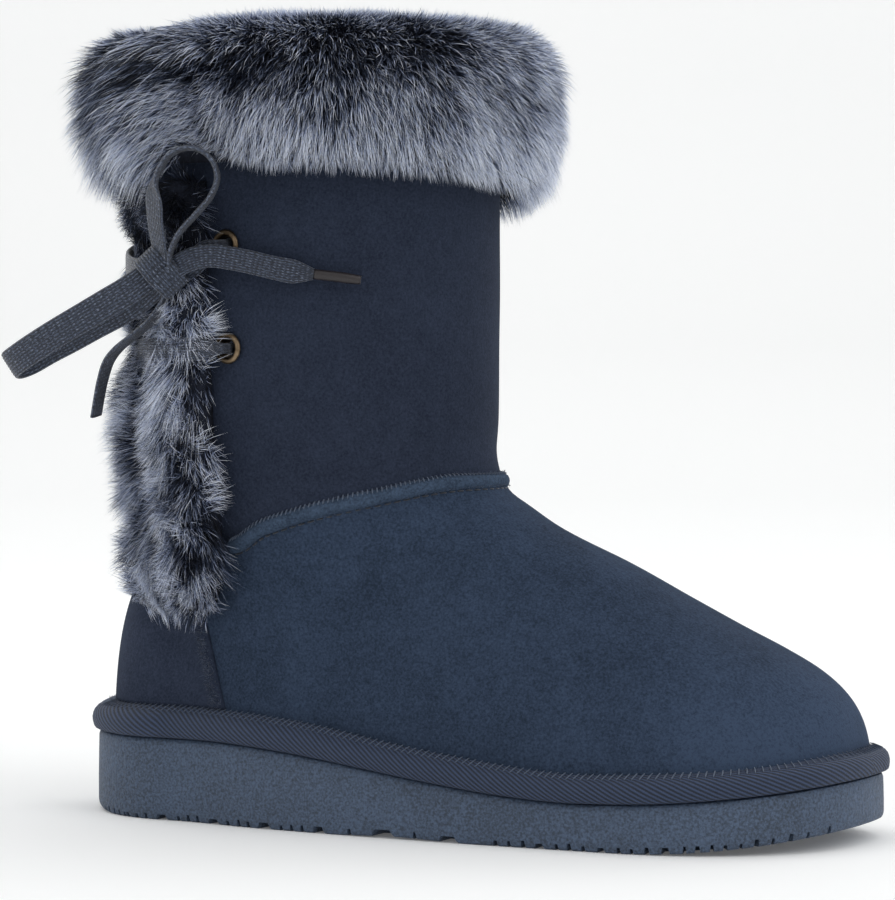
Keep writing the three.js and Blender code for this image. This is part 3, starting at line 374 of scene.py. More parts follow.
def sole_top(x):
    to_ball = ease((x - 0.1 * BALL_X) / (0.85 * BALL_X))
    to_toe = np.maximum(0, (x - 0.9 * BALL_X) / (TOE_X - 0.9 * BALL_X)) ** 2
    return HEEL_STACK + (BALL_STACK - HEEL_STACK) * to_ball + (TOE_STACK - BALL_STACK) * to_toe


def sole_foot(x):
    heel = 3.0 * np.clip((-20 - x) / 20, 0, None) ** 2
    toe = 6.4 * (np.clip(x - BALL_X - 7, 0, None) / (TOE_X - BALL_X - 7)) ** 1.8
    waist = np.clip((x - 0.4 * BALL_X) / (0.32 * BALL_X), 0, 1)
    return heel + toe + 0.6 * np.sin(math.pi * waist) ** 2


def edge(x, side, inset):
    """From the middle line to the edge of the plan, inset from the sole's own edge."""
    x, side = np.broadcast_arrays(np.asarray(x, float), side)
    outer = side < 0
    ball = np.where(outer, BALL_OUTER, BALL_INNER)
    heel = HEEL_RADIUS - inset
    round_heel = heel * np.sqrt(np.maximum(0, 1 - (x / heel) ** 2))
    share = np.where(outer, read(WAIST, x / BALL_X, 1), read(WAIST, x / BALL_X, 2))
    turn = np.where(outer, -TOE_TURN, TOE_TURN)
    run = np.clip((x - BALL_X) / (BALL_FROM_TOE - inset), 0, 1)
    toe = turn + (ball - inset - turn) * (1 - run ** 2.25) ** (1 / 2.25)
    return np.where(x < 0, round_heel, np.where(x < BALL_X, ball * share - inset, toe))


def slab_object(name, levels, stations, material):
    """A slab with the sole's plan, from levels of an inset and a height for each x."""
    rings = []
    for inset, height in levels:
        start, end = inset - HEEL_RADIUS, TOE_X - inset
        x = start + (end - start) * (1 - np.cos(math.pi * np.arange(stations + 1) / stations)) / 2
        outer = np.stack([x, -edge(x, -1, inset), height(x)], 1)[1:-1]
        inner = np.stack([x, edge(x, 1, inset), height(x)], 1)[1:-1][::-1]
        rings.append(np.vstack([[start, 0, height(np.array(start))], outer,
                                [end, TOE_TURN, height(np.array(end))], inner]))
    n = len(rings[0])
    faces = tube_faces(len(rings), n, close=False)
    for base, flip in ((0, -1), ((len(rings) - 1) * n, 1)):
        k = np.arange(1, stations - 1)
        quads = np.stack([base + k, base + k + 1, base + n - k - 1, base + n - k], 1)[:, ::flip]
        faces.append(quads)
        ends = base + np.array([[0, 1, n - 1], [stations - 1, stations, stations + 1]])
        faces.append(ends[:, ::flip])
    return new_object(name, np.vstack(rings), faces, material)


# Foam rubber, moulded: a matt slate blue with a pebble grain of about 1.3 mm
foam_rubber, tree, shader = new_material("moulded_foam_rubber", Roughness=0.62, IOR=1.5)
place = node(tree, "TexCoord").outputs["Object"]
pebble = node(tree, "TexVoronoi", {"Vector": place, "Scale": 1000 / 1.3, "Smoothness": 0.5},
              feature="SMOOTH_F1")
speck = node(tree, "TexNoise", {"Vector": place, "Scale": 1300.0, "Detail": 4.0, "Roughness": 0.6})
cloud = node(tree, "TexNoise", {"Vector": place, "Scale": 38.0, "Detail": 3.0})
mixed = node(tree, "Math", {0: cloud.outputs["Fac"], 1: 0.25, 2: speck.outputs["Fac"]},
             operation="MULTIPLY_ADD")
foam_tint = node(tree, "ValToRGB", {"Fac": mixed.outputs[0]})
for stop, spot, code in zip(foam_tint.color_ramp.elements, (0.46, 0.79), ("#2c3746", "#4e607a")):
    stop.position, stop.color = spot, linear(code)
grain = node(tree, "Math", {0: pebble.outputs["Distance"], 1: 1.1, 2: speck.outputs["Fac"]},
             operation="MULTIPLY_ADD")
foam_bump = node(tree, "Bump", {"Height": grain.outputs[0], "Strength": 0.8, "Distance": 0.45 * MM})
tree.links.new(foam_tint.outputs["Color"], shader.inputs["Base Color"])
tree.links.new(foam_bump.outputs["Normal"], shader.inputs["Normal"])

SOLE_LEVELS = [
    (1.4, lambda x: sole_foot(x)),
    (0.7, lambda x: sole_foot(x) + 0.25),
    (0.2, lambda x: sole_foot(x) + 0.9),
    (0.0, lambda x: sole_foot(x) + 2.0),
    (0.0, lambda x: sole_foot(x) + 0.4 * (sole_top(x) - sole_foot(x))),
    (0.1, lambda x: sole_foot(x) + 0.7 * (sole_top(x) - sole_foot(x))),
    (0.2, lambda x: sole_top(x) - 1.6),
    (0.6, lambda x: sole_top(x) - 0.5),
    (1.4, lambda x: sole_top(x)),
]
sole = slab_object("sole_unit", SOLE_LEVELS, 150, foam_rubber)

TREAD = [
    # from and to in heel radii, small cuts, their width, the lug, the wide recess
    (-0.92, -0.5, 1, 1.2, 1.6, 1.2), (-0.42, 1.45, 3, 1.5, 2.4, 6.0),
    (1.62, 2.75, 1, 1.6, 6.0, 9.0), (2.95, 4.3, 3, 1.6, 2.9, 3.4), (4.45, 5.3, 1, 1.2, 2.4, 1.8)]
cuts = []
for start, end, small, narrow, lug, recess in TREAD:
    x = start * HEEL_RADIUS
    while x < end * HEEL_RADIUS:
        for _ in range(small):
            cuts.append((x + lug + narrow / 2, narrow))
            x += lug + narrow
        cuts.append((x + lug + recess / 2, recess))
        x += lug + recess
cuts = [(x, wide) for x, wide in cuts if x + wide < TOE_X - 1]
for i in range(-5, 6):  # fine ribs round the back of the heel
    first, wide = (1.4, 0.9) if i % 2 else (1.0, 0.8)
    cuts.append((-HEEL_RADIUS + first + 0.16 * i * i, wide))


def block(middle, size, turn=0.0, taper=1.0):
    """A block's eight corners, turned about the vertical, with its top narrowed by taper."""
    signs = np.array([[i, j, k] for k in (-1, 1) for i, j in ((-1, -1), (1, -1), (1, 1), (-1, 1))])
    p = signs * np.asarray(size) / 2
    p[4:, 0] *= taper
    c, s = math.cos(turn), math.sin(turn)
    return np.stack([p[:, 0] * c - p[:, 1] * s, p[:, 0] * s + p[:, 1] * c, p[:, 2]], 1) + middle


BLOCK_FACES = np.array([[3, 2, 1, 0], [4, 5, 6, 7], [0, 1, 5, 4], [1, 2, 6, 5], [2, 3, 7, 6],
                        [3, 0, 4, 7]])
GROOVE_STEP, GROOVE_WIDE = 15.0, 3.2
blocks = []
random = np.random.default_rng(5)
for x, wide in cuts:
    x, wide = x + random.uniform(-0.3, 0.3), wide * random.uniform(0.8, 1.15)
    deep = 2 * random.uniform(0.55, 0.85) * TREAD_DEPTH
    for side in (-1, 1):
        if x < 1 - HEEL_RADIUS:
            continue
        p = np.array([x, side * float(edge(x, side, 0))])
        q = np.array([x + 0.5, side * float(edge(x + 0.5, side, 0))])
        turn = math.atan2(*(q - p)[::-1])
        blocks.append(block([*p, float(sole_foot(x))], (wide + 0.4, 2 * RIM_LUG, deep), turn, 0.5))
for x in np.arange(-GROOVE_STEP / 2, BALL_X + 22, GROOVE_STEP):
    size = GROOVE_WIDE, 1.1 * HEEL_RADIUS, 2 * TREAD_DEPTH
    blocks.append(block([x, 0, float(sole_foot(x))], size))
cutter_faces = np.vstack([BLOCK_FACES + 8 * i for i in range(len(blocks))])
cutter = new_object("tread_cutter", np.vstack(blocks), [cutter_faces], smooth=False)
cut = sole.modifiers.new("tread", "BOOLEAN")
cut.operation, cut.solver, cut.object = "DIFFERENCE", "MANIFOLD", cutter


def freeze(piece):
    """Bakes a piece's modifiers into its mesh."""
    graph = bpy.context.evaluated_depsgraph_get()
    piece.data = bpy.data.meshes.new_from_object(piece.evaluated_get(graph))
    piece.modifiers.clear()


freeze(sole)
bpy.data.objects.remove(cutter)
sole.data.set_sharp_from_angle(angle=math.radians(40))
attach(sole, "root")
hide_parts("outsole")


# --- Footbed ------------------------------------------------------------------------------
# A 6 mm footbed covered with short fleece lies inside on the sole. Only a look down the shaft
# shows it. The CAD solid has its shape already, so it only gets the fleece.
fleece, tree, shader = new_material("short_fleece", Roughness=1.0, Sheen_Weight=0.4,
                                    Sheen_Roughness=0.5)
place = node(tree, "TexCoord").outputs["Object"]
curl = node(tree, "TexNoise", {"Vector": place, "Scale": 420.0, "Detail": 4.0, "Distortion": 1.2})
fleece_tint = node(tree, "ValToRGB", {"Fac": curl.outputs["Fac"]})
for stop, spot, code in zip(fleece_tint.color_ramp.elements, (0.3, 0.7), ("#3a4150", "#6d7588")):
    stop.position, stop.color = spot, linear(code)
fleece_bump = node(tree, "Bump", {"Height": curl.outputs["Fac"], "Strength": 0.9,
                                  "Distance": 1.2 * MM})
tree.links.new(fleece_tint.outputs["Color"], shader.inputs["Base Color"])
tree.links.new(fleece_bump.outputs["Normal"], shader.inputs["Normal"])
footbed = bpy.data.objects["insole"]
footbed.data.materials.clear()
footbed.data.materials.append(fleece)


# --- Foot and shaft -----------------------------------------------------------------------
# Cow suede 2.5 mm thick with its fleece lining, lasted over a full foot shape. The shaft goes
# straight up to 244 mm. It is slit on the outer back from 84 mm up. The brushed nap has soft
# clouds, a painted highlight makes it paler on the toe, and the leather gives a little at the
# ankle.
HEEL_INSET, BALL_INSET, TOE_INSET, WALL, GAP = 6.8, 5.4, 3.4, 2.5, 0.3
INSTEP_RISE, ANKLE_BLEND = 90.0, 9.0
SHAFT_TOP, SHAFT_X, SHAFT_LONG, SHAFT_WIDE = 244.0, 40.8, 54.7, 51.0
UPPER_BACK = HEEL_INSET - HEEL_RADIUS
UPPER_LENGTH = TOE_X - TOE_INSET - UPPER_BACK
SLIT_ANGLE, SLIT_FOOT, SLIT_WIDE = -135.0, 84.0, 7.0
RIDGE = np.array([
    [0, 0], [0.001, 0.17], [0.006, 0.33], [0.015, 0.43], [0.023, 0.5], [0.045, 0.61],
    [0.075, 0.73], [0.135, 0.86], [0.25, 0.98], [0.41, 1.03], [0.52, 0.98], [0.6, 0.872],
    [0.69, 0.77], [0.77, 0.648], [0.836, 0.546], [0.89, 0.46], [0.935, 0.373], [0.967, 0.285],
    [0.984, 0.21], [0.993, 0.127], [1, 0]])
SHAFT = np.array([[0.1, 0.8, 0.62, 0], [0.28, 0.94, 0.82, 0], [0.42, 0.985, 0.94, 0],
                  [0.56, 1, 1, 0], [0.75, 1.01, 1.03, -0.01], [1.1, 1.03, 1.06, -0.03]])


def inset_at(x):
    return (HEEL_INSET + (BALL_INSET - HEEL_INSET) * ease(x / BALL_X)
            + (TOE_INSET - BALL_INSET) * ease((x - BALL_X) / BALL_FROM_TOE))


def ridge_y(x):
    return TOE_TURN * ease((x - 0.6 * BALL_X) / (TOE_X - 0.6 * BALL_X))


def depth(x, y, z):
    """How deep a point lies in the foot and shaft flowing into each other."""
    side = np.where(y < ridge_y(x), -1, 1)
    half = np.maximum(0.3, edge(x, side, inset_at(x)) - side * ridge_y(x))
    rise = np.maximum(0.3, INSTEP_RISE * read(RIDGE, (x - UPPER_BACK) / UPPER_LENGTH))
    over, up = np.abs(y - ridge_y(x)) / half, np.maximum(0, z - sole_top(x)) / rise
    foot = SHAFT_WIDE * 0.8 * (1 - (over ** 2.3 + up ** 2.1) ** (1 / 2.2))
    share = z / SHAFT_TOP
    axis = SHAFT_X + SHAFT_LONG * read(SHAFT, share, 3)
    shaft = SHAFT_WIDE * (1 - np.hypot((x - axis) / (SHAFT_LONG * read(SHAFT, share, 1)),
                                       y / (SHAFT_WIDE * read(SHAFT, share, 2))))
    near = np.maximum(0, ANKLE_BLEND - np.abs(foot - shaft)) / ANKLE_BLEND
    return np.maximum(foot, shaft) + near * near * ANKLE_BLEND / 4


def outwards(p):
    d = 0.2
    steps = [depth(*(p - d * e).T) - depth(*(p + d * e).T) for e in np.eye(3)]
    return unit(np.stack(steps, 1))


def skin(axis, dx, dy, height_at):
    """The outer skin met by level rays from an axis."""
    axis, dx, dy = np.broadcast_arrays(np.asarray(axis, float), dx, dy)
    near, far = np.zeros(axis.shape), np.full(axis.shape, 2 * SOLE_LENGTH)
    for _ in range(30):
        r = (near + far) / 2
        x = axis + r * dx
        deep = depth(x, r * dy, height_at(x)) > 0
        near, far = np.where(deep, r, near), np.where(deep, far, r)
    x = axis + near * dx
    return np.stack([x, near * dy, height_at(x)], 1)


def around(angle, height, out):
    """Points out from the skin, at angles in degrees round the shaft and at heights."""
    a, height, out = np.broadcast_arrays(np.radians(angle), np.asarray(height, float), out)
    p = skin(SHAFT_X, np.cos(a), np.sin(a), lambda x: height)
    return p + outwards(p) * out[:, None]


def seam_height(angle):
    """Height of the seam between foot and shaft, at an angle round the shaft."""
    return SEAM_TOP * read(SEAM, (angle + 105.0) % 360.0 - 105.0)


SEAM_TOP = 108.0
SEAM = np.array([[-105, 0.815], [-90, 0.87], [-50, 0.955], [-15, 1], [15, 1], [50, 0.955],
                 [90, 0.9], [130, 0.86], [160, 0.83], [194, 0.81], [255, 0.815]])
COLUMNS, SHARES = 216, 130


def oval(height):
    """Middle, half length and half width of the skin at a height."""
    front = skin(SHAFT_X, [1.0], [0.0], height)[0, 0]
    rear = skin(SHAFT_X, [-1.0], [0.0], height)[0, 0]
    axis, long = (front + rear) / 2, (front - rear) / 2
    wide = np.ptp(skin(axis, [0.0, 0.0], [-1.0, 1.0], height)[:, 1]) / 2
    return axis, long, wide


def oval_skin(turn, axis, long, wide, height):
    """The skin met by level rays that turn round an oval."""
    dx, dy = np.cos(turn) * long, np.sin(turn) * wide
    reach = np.hypot(dx, dy)
    return skin(axis, dx / reach, dy / reach, height)


def shell_grid(columns, shares):
    """The skin as a grid of rows at shares of its height, each from slit edge to slit edge."""
    grid = []
    for share in shares:
        def height(x, share=share):
            foot = sole_top(x) + GAP
            return foot + (SHAFT_TOP - foot) * share
        axis, long, wide = oval(height)
        a = math.radians(SLIT_ANGLE)
        start = skin(SHAFT_X, [math.cos(a)], [math.sin(a)], height)[0]
        first = math.atan2(start[1] / wide, (start[0] - axis) / long)
        opened = math.sqrt(float(ease((start[2] - SLIT_FOOT) / 6)))
        half = SLIT_WIDE / 2 / SHAFT_WIDE * opened
        turn = first + half + (2 * math.pi - 2 * half) * np.arange(columns + 1) / columns
        grid.append(oval_skin(turn, axis, long, wide, height))
    return np.array(grid)


# The leather's soft troughs and ridges: angle, height, half length and half width, lean from
# level in degrees, and how far in or out it goes
FOLDS = [
    (-64, 118, 26, 7, 14, -0.7), (-40, 126, 20, 6, 20, 0.5), (-80, 140, 24, 9, -12, -0.6),
    (-25, 112, 16, 5, 8, -0.6), (30, 114, 24, 7, -12, -0.7), (72, 124, 26, 8, -8, 0.6),
    (-92, 176, 30, 11, 80, -0.7), (-66, 172, 34, 10, 84, 0.6), (-38, 160, 40, 9, 92, -0.5),
    (100, 165, 40, 12, 84, 0.7), (150, 150, 30, 10, 70, -0.6), (-118, 62, 18, 8, 70, -0.6),
    (170, 96, 20, 7, 4, -0.7), (140, 60, 20, 9, -20, 0.5), (-12, 70, 24, 12, 30, -0.7),
    (-20, 48, 22, 9, 10, -0.5), (16, 60, 26, 10, -20, -0.6)]


def with_folds(points, normals):
    lift = np.zeros(len(points))
    for angle, height, long, wide, lean, by in FOLDS:
        c = around(np.array([angle]), height, 0.0)[0]
        n = outwards(c[None])[0]
        level = unit(np.cross([0, 0, 1.0], n))
        rise = np.cross(n, level)
        a = math.radians(lean)
        run = level * math.cos(a) + rise * math.sin(a)
        off = rise * math.cos(a) - level * math.sin(a)
        v = points - c
        lift += by * np.exp(-(v @ run / long) ** 2 - (v @ off / wide) ** 2 - (v @ n / 30) ** 2)
    x, y, z = points.T
    lift += 0.22 * np.sin(x / 13 + 1.3 * np.sin(z / 17)) * np.sin(z / 15 + y / 19)
    return points + normals * lift[:, None]


# Suede, brushed: dull navy nap that lies in tufts of about 4 mm, with paler clouds about 30 mm
# wide. The foot is cut from a bluer and lighter skin than the shaft.
def new_suede(name, dark, light, foot_dark, foot_light):
    made, tree, shader = new_material(name, Roughness=0.95, Specular_IOR_Level=0.1,
                                      Sheen_Weight=0.06, Sheen_Roughness=0.5)
    shader.inputs["Sheen Tint"].default_value = linear("#8c9ab4")
    place = node(tree, "TexCoord").outputs["Object"]
    clouds = node(tree, "TexNoise", {"Vector": place, "Scale": 34.0, "Detail": 4.0,
                                     "Roughness": 0.6, "Distortion": 0.4})
    nap = node(tree, "TexNoise", {"Vector": place, "Scale": 1250.0, "Detail": 3.0,
                                  "Roughness": 0.75})
    tufts = node(tree, "TexNoise", {"Vector": place, "Scale": 230.0, "Detail": 4.0,
                                    "Roughness": 0.7})
    coarse = node(tree, "Math", {0: tufts.outputs["Fac"], 1: 0.8, 2: clouds.outputs["Fac"]},
                  operation="MULTIPLY_ADD")
    both = node(tree, "Math", {0: nap.outputs["Fac"], 1: 3.0, 2: coarse.outputs[0]},
                operation="MULTIPLY_ADD")
    # Painted highlight: the tone is raised where the toe's highlight share is set
    painted_toe_highlight = node(tree, "Attribute", attribute_name="painted_toe_highlight")
    paler = node(tree, "Math", {0: painted_toe_highlight.outputs["Fac"], 1: 0.6, 2: both.outputs[0]},
                 operation="MULTIPLY_ADD")
    tone = node(tree, "Math", {0: paler.outputs[0], 1: 1 / 4.8}, operation="MULTIPLY")
    tints = []
    for low, high in ((dark, light), (foot_dark, foot_light)):
        ramp = node(tree, "ValToRGB", {"Fac": tone.outputs[0]})
        for stop, spot, code in zip(ramp.color_ramp.elements, (0.38, 0.62), (low, high)):
            stop.position, stop.color = spot, linear(code)
        tints.append(ramp.outputs["Color"])
    part = node(tree, "Attribute", attribute_name="foot")
    tint = node(tree, "Mix", {"Factor": part.outputs["Fac"]}, data_type="RGBA")
    for key, value in (("A", tints[0]), ("B", tints[1])):
        tree.links.new(value, [s for s in tint.inputs if s.name == key and s.type == "RGBA"][0])
    colour = [s for s in tint.outputs if s.type == "RGBA"][0]
    tree.links.new(colour, shader.inputs["Base Color"])
    fuzz = node(tree, "Math", {0: tufts.outputs["Fac"], 1: 1.2, 2: nap.outputs["Fac"]},
                operation="MULTIPLY_ADD")
    bump = node(tree, "Bump", {"Height": fuzz.outputs[0], "Strength": 0.5, "Distance": 0.35 * MM})
    tree.links.new(bump.outputs["Normal"], shader.inputs["Normal"])
    return made


suede = new_suede("brushed_cow_suede", "#1f2533", "#303849", "#212b3a", "#3a485e")
CLOSE_ROWS = 84  # rows of the foot, closer together than the shaft's
shares = np.concatenate([np.linspace(0, 0.45, CLOSE_ROWS, endpoint=False),
                         np.linspace(0.45, 1, SHARES - CLOSE_ROWS)])
outer_grid = shell_grid(COLUMNS, shares)
outer_flat = outer_grid.reshape(-1, 3)
normals = outwards(outer_flat)
skin_points = with_folds(outer_flat, normals)
inner_points = outer_flat - normals * WALL
rows, cols = SHARES, COLUMNS + 1
for flat in (skin_points, inner_points):
    grid = flat.reshape(rows, cols, 3)
    grid[0, :, 2] = outer_grid[0, :, 2]
    grid[-1, :, 2] = outer_grid[-1, :, 2]
shut = outer_grid[:, 0, 2] < SLIT_FOOT
skin_grid = skin_points.reshape(rows, cols, 3)
inner_grid = inner_points.reshape(rows, cols, 3)
for grid in (skin_grid, inner_grid):
    middle = (grid[:, 0] + grid[:, -1]) / 2
    grid[shut, 0], grid[shut, -1] = middle[shut], middle[shut]


def grid_faces(rows, cols, base=0, flip=False):
    a = (np.arange(rows - 1)[:, None] * cols + np.arange(cols - 1)).ravel() + base
    quads = np.stack([a, a + 1, a + cols + 1, a + cols], 1)
    return quads[:, ::-1] if flip else quads


shift = rows * cols
k, j = np.arange(cols - 1), np.arange(rows - 1)
top, edge_a, edge_b = (rows - 1) * cols, j * cols, j * cols + cols - 1
gaping = ~shut[1:]
upper_faces = [
    grid_faces(rows, cols), grid_faces(rows, cols, shift, True),
    np.stack([k + 1, k, k + shift, k + shift + 1], 1),
    np.stack([top + k, top + k + 1, top + k + 1 + shift, top + k + shift], 1),
    np.stack([edge_a, edge_a + cols, edge_a + cols + shift, edge_a + shift], 1)[gaping],
    np.stack([edge_b + cols, edge_b, edge_b + shift, edge_b + cols + shift], 1)[gaping]]
upper = new_object("suede_upper", np.vstack([skin_grid.reshape(-1, 3), inner_grid.reshape(-1, 3)]),
                   upper_faces, suede)
upper.data.materials.append(fleece)
lined = np.concatenate([[i == 1] * len(f) for i, f in enumerate(upper_faces)]).astype("i")
upper.data.polygons.foreach_set("material_index", lined)
angles = np.degrees(np.arctan2(skin_points[:, 1], skin_points[:, 0] - SHAFT_X))
below = ease((seam_height(angles) - skin_points[:, 2]) / 2.0 + 0.5)
part = upper.data.attributes.new("foot", "FLOAT", "POINT")
part.data.foreach_set("value", np.concatenate([below, below]).astype("f"))
# Painted highlight on the toe: the suede is made paler towards the front and low down
toe_highlight_share = ease((skin_points[:, 0] - 140) / 80) * ease((70 - skin_points[:, 2]) / 40)
painted_toe_highlight = upper.data.attributes.new("painted_toe_highlight", "FLOAT", "POINT")
painted_toe_highlight.data.foreach_set("value", np.concatenate([toe_highlight_share, toe_highlight_share]).astype("f"))

EYELET_HEIGHTS = (149.6, 181.5)
EYELET_OUTER, EYELET_BORE, EYELET_METAL = 9.8, 6.0, 0.6
TRIM_WIDE, TRIM_DEPTH = 25.5, 15.0
EYELET_ANGLE = math.degrees((1.05 * TRIM_WIDE + EYELET_OUTER / 2 + 2 * GAP) / SHAFT_LONG)
eyelet_spots = [(turn, height) for height in EYELET_HEIGHTS
                for turn in (EYELET_ANGLE, -EYELET_ANGLE)]


def eyelet_circle(turn, height, count):
    """An eyelet's middle on the skin, its way out, and ways to a circle of points round it."""
    at = around(np.array([SLIT_ANGLE + turn]), height, 0.0)[0]
    out = outwards(at[None])[0]
    level = unit(np.cross([0, 0, 1.0], out))
    rise = np.cross(out, level)
    a = np.linspace(0, 2 * math.pi, count, endpoint=False)
    return at, out, np.cos(a)[:, None] * level + np.sin(a)[:, None] * rise


punches = []
for turn, height in eyelet_spots:
    at, out, ways = eyelet_circle(turn, height, 24)
    ring = ways * (EYELET_BORE / 2 + EYELET_METAL + 0.15)
    inner, outer = at - out * 8, at + out * 8
    punches.append(np.vstack([inner + ring, outer + ring, [inner], [outer]]))
punch_faces = tube_faces(2, 24)
punch = new_object("eyelet_punch", np.vstack(punches),
                   [np.vstack([f + 50 * i for i in range(4)]) for f in punch_faces])
upper.data.validate()
weld = upper.modifiers.new("join below the slit", "WELD")
weld.merge_threshold = 0.01 * MM
holes = upper.modifiers.new("eyelet holes", "BOOLEAN")
holes.operation, holes.solver, holes.object = "DIFFERENCE", "MANIFOLD", punch
freeze(upper)
bpy.data.objects.remove(punch)
upper.data.set_sharp_from_angle(angle=math.radians(50))
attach(upper, "root")
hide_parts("upper")


# --- Loose fibres -------------------------------------------------------------------------
# Fur and the fuzz along raw edges are strands that taper to a point. Each is a thin blade on
# a bent line from its root to its tip, and they are joined into one mesh for each patch.
def new_strands(name, roots, bends, tips, width, material, tone, seed):
    """Blades from roots over bend points to tips, with their share of length and their tone."""
    random = np.random.default_rng(seed)
    n = len(roots)
    steps = np.array([0.0, 0.4, 0.75, 1.0])
    t = steps[None, :, None]
    line = (1 - t) ** 2 * roots[:, None] + 2 * t * (1 - t) * bends[:, None] + t * t * tips[:, None]
    side = unit(np.cross(tips - roots, random.normal(size=(n, 3))))
    half = np.asarray(width).reshape(-1, 1) / 2 * np.array([0.8, 1.0, 0.62])
    left = line[:, :3] - side[:, None] * half[..., None]
    right_edge = line[:, :3] + side[:, None] * half[..., None]
    points = np.concatenate([np.stack([left, right_edge], 2).reshape(n, 6, 3), line[:, 3:]], 1)
    base = np.arange(n)[:, None] * 7
    quads = np.concatenate([base + [0, 1, 3, 2], base + [2, 3, 5, 4]])
    tips_faces = base + [4, 5, 6]
    made = new_object(name, points.reshape(-1, 3), [quads, tips_faces], material)
    share = made.data.attributes.new("along", "FLOAT", "POINT")
    share.data.foreach_set("value", np.tile([0, 0, 0.4, 0.4, 0.75, 0.75, 1], n).astype("f"))
    toned = made.data.attributes.new("tone", "FLOAT", "POINT")
    toned.data.foreach_set("value", np.repeat(tone, 7).astype("f"))
    return made


# --- Heel counter -------------------------------------------------------------------------
# A second layer of suede, 1.3 mm thick, lies round the heel up to 83 mm. Its front edge leans
# back as it goes up, and is turned and sewn, so it stands as a fuzzy ridge.
COUNTER_THICK, COUNTER_TOP, COUNTER_FRONT = 1.3, 83.0, (24.0, 10.0)
TAPE_HEIGHT = 9.2


def tape_tall(x):
    return TAPE_HEIGHT * (1 - 0.16 * ease(x / BALL_X))


def counter_grid(across, up, out):
    """Points of the counter: across from edge to edge, up from the binding, out of the skin."""
    front = COUNTER_FRONT[0] + (COUNTER_FRONT[1] - COUNTER_FRONT[0]) * up
    spread = np.arctan2(HEEL_RADIUS, front)
    angle = math.pi + (across - 0.5) * 2 * (math.pi - spread)

    def height(x):
        bottom = sole_top(x) + 2 * GAP + tape_tall(x)
        return bottom + (COUNTER_TOP - bottom) * up
    p = skin(0.0, np.cos(angle), np.sin(angle), height)
    return p + outwards(p) * np.asarray(out)[:, None], p


n_across, n_up = 150, 44
u, v = [g.ravel() for g in np.meshgrid(np.linspace(0, 1, n_across), np.linspace(0, 1, n_up))]
from_edge = np.minimum(u, 1 - u) * 150
ridge = np.exp(-((from_edge - 1.8) / 1.5) ** 2) * (0.75 + 0.2 * np.sin(v * 61) * np.sin(v * 23))
wrinkle = 0.1 * np.sin(v * 40 + 5 * u) * np.exp(-from_edge / 9)
out = 0.15 + COUNTER_THICK * (0.45 + 0.55 * ease(from_edge / 1.4)) + ridge + wrinkle
outside, on_skin = counter_grid(u, v, out)
inside = on_skin - outwards(on_skin) * 0.6
n = len(u)
border = np.concatenate([np.arange(n_across), np.arange(1, n_up) * n_across + n_across - 1,
                         (n_up - 1) * n_across + np.arange(n_across - 2, -1, -1),
                         np.arange(n_up - 2, 0, -1) * n_across])
after = np.roll(border, -1)
counter_faces = [grid_faces(n_up, n_across, flip=True), grid_faces(n_up, n_across, n),
                 np.stack([border, after, after + n, border + n], 1)]
counter_suede = new_suede("brushed_suede_counter", "#222938", "#363e50", "#222938", "#363e50")
counter_points = np.vstack([outside, inside])
counter = new_object("heel_counter_suede", counter_points, counter_faces, counter_suede)
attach(counter, "root")
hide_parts("heel_counter")

# Fuzz of torn nap along the counter's front edges
fuzz_suede, tree, shader = new_material("loose_suede_fibre", Roughness=0.9, Sheen_Weight=0.3)
tone = node(tree, "Attribute", attribute_name="tone")
fuzz_tint = node(tree, "ValToRGB", {"Fac": tone.outputs["Fac"]})
fuzz_tint.color_ramp.elements[0].color = linear("#222a39")
fuzz_tint.color_ramp.elements[1].color = linear("#56637a")
tree.links.new(fuzz_tint.outputs["Color"], shader.inputs["Base Color"])
random = np.random.default_rng(11)
count = 2200
v = random.uniform(0.0, 0.99, count)
u = np.where(random.random(count) < 0.5, 0.012, 0.988) + random.normal(0, 0.005, count)
roots, _ = counter_grid(np.clip(u, 0.001, 0.999), v, np.full(count, 1.5))
way = unit(outwards(roots) + random.normal(0, 0.8, (count, 3)))
tips = roots + way * random.uniform(0.8, 2.8, count)[:, None]
bends = roots + way * 0.8 + random.normal(0, 0.4, (count, 3))
edge_fuzz = new_strands("counter_edge_fuzz", roots, bends, tips, np.full(count, 0.11), fuzz_suede,
                        random.random(count), 12)
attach(edge_fuzz, "root")


# --- Seam between foot and shaft ----------------------------------------------------------
# The two panels are butted and covered by a folded strip of the same suede, 4.6 mm wide and
# 2.2 mm high, from one fur edge round the instep to the other. It is overcast along its top
# edge with close thread, and a line of lock stitches runs along its foot.
SEAM_WIDE, SEAM_HIGH = 4.6, 2.2
clear = math.degrees((1.05 * TRIM_WIDE + 4 * GAP) / SHAFT_LONG)
stations = 420
seam_angles = np.linspace(SLIT_ANGLE + clear, SLIT_ANGLE + 360 - clear, stations)
seam_at = around(seam_angles, seam_height(seam_angles), 0.0)
seam_out = outwards(seam_at)
seam_run = unit(np.gradient(seam_at, axis=0))
seam_up = np.cross(seam_out, seam_run)
seam_long = lengths_along(seam_at)
SECTION = [(-0.56, -0.5), (-0.52, 0.14), (-0.44, 0.5), (-0.28, 0.84), (-0.05, 1.0), (0.18, 0.94),
           (0.36, 0.68), (0.47, 0.3), (0.53, -0.5)]


def to_skin(points, out):
    """Points brought level to the skin round the shaft, and then out from it."""
    angle = np.degrees(np.arctan2(points[:, 1], points[:, 0] - SHAFT_X))
    return around(angle, points[:, 2], out)


def rows_at(spots, lengths, table):
    """Rows of a table at spots along a line with the given lengths."""
    return np.stack([np.interp(spots, lengths, table[:, i]) for i in range(3)], 1)


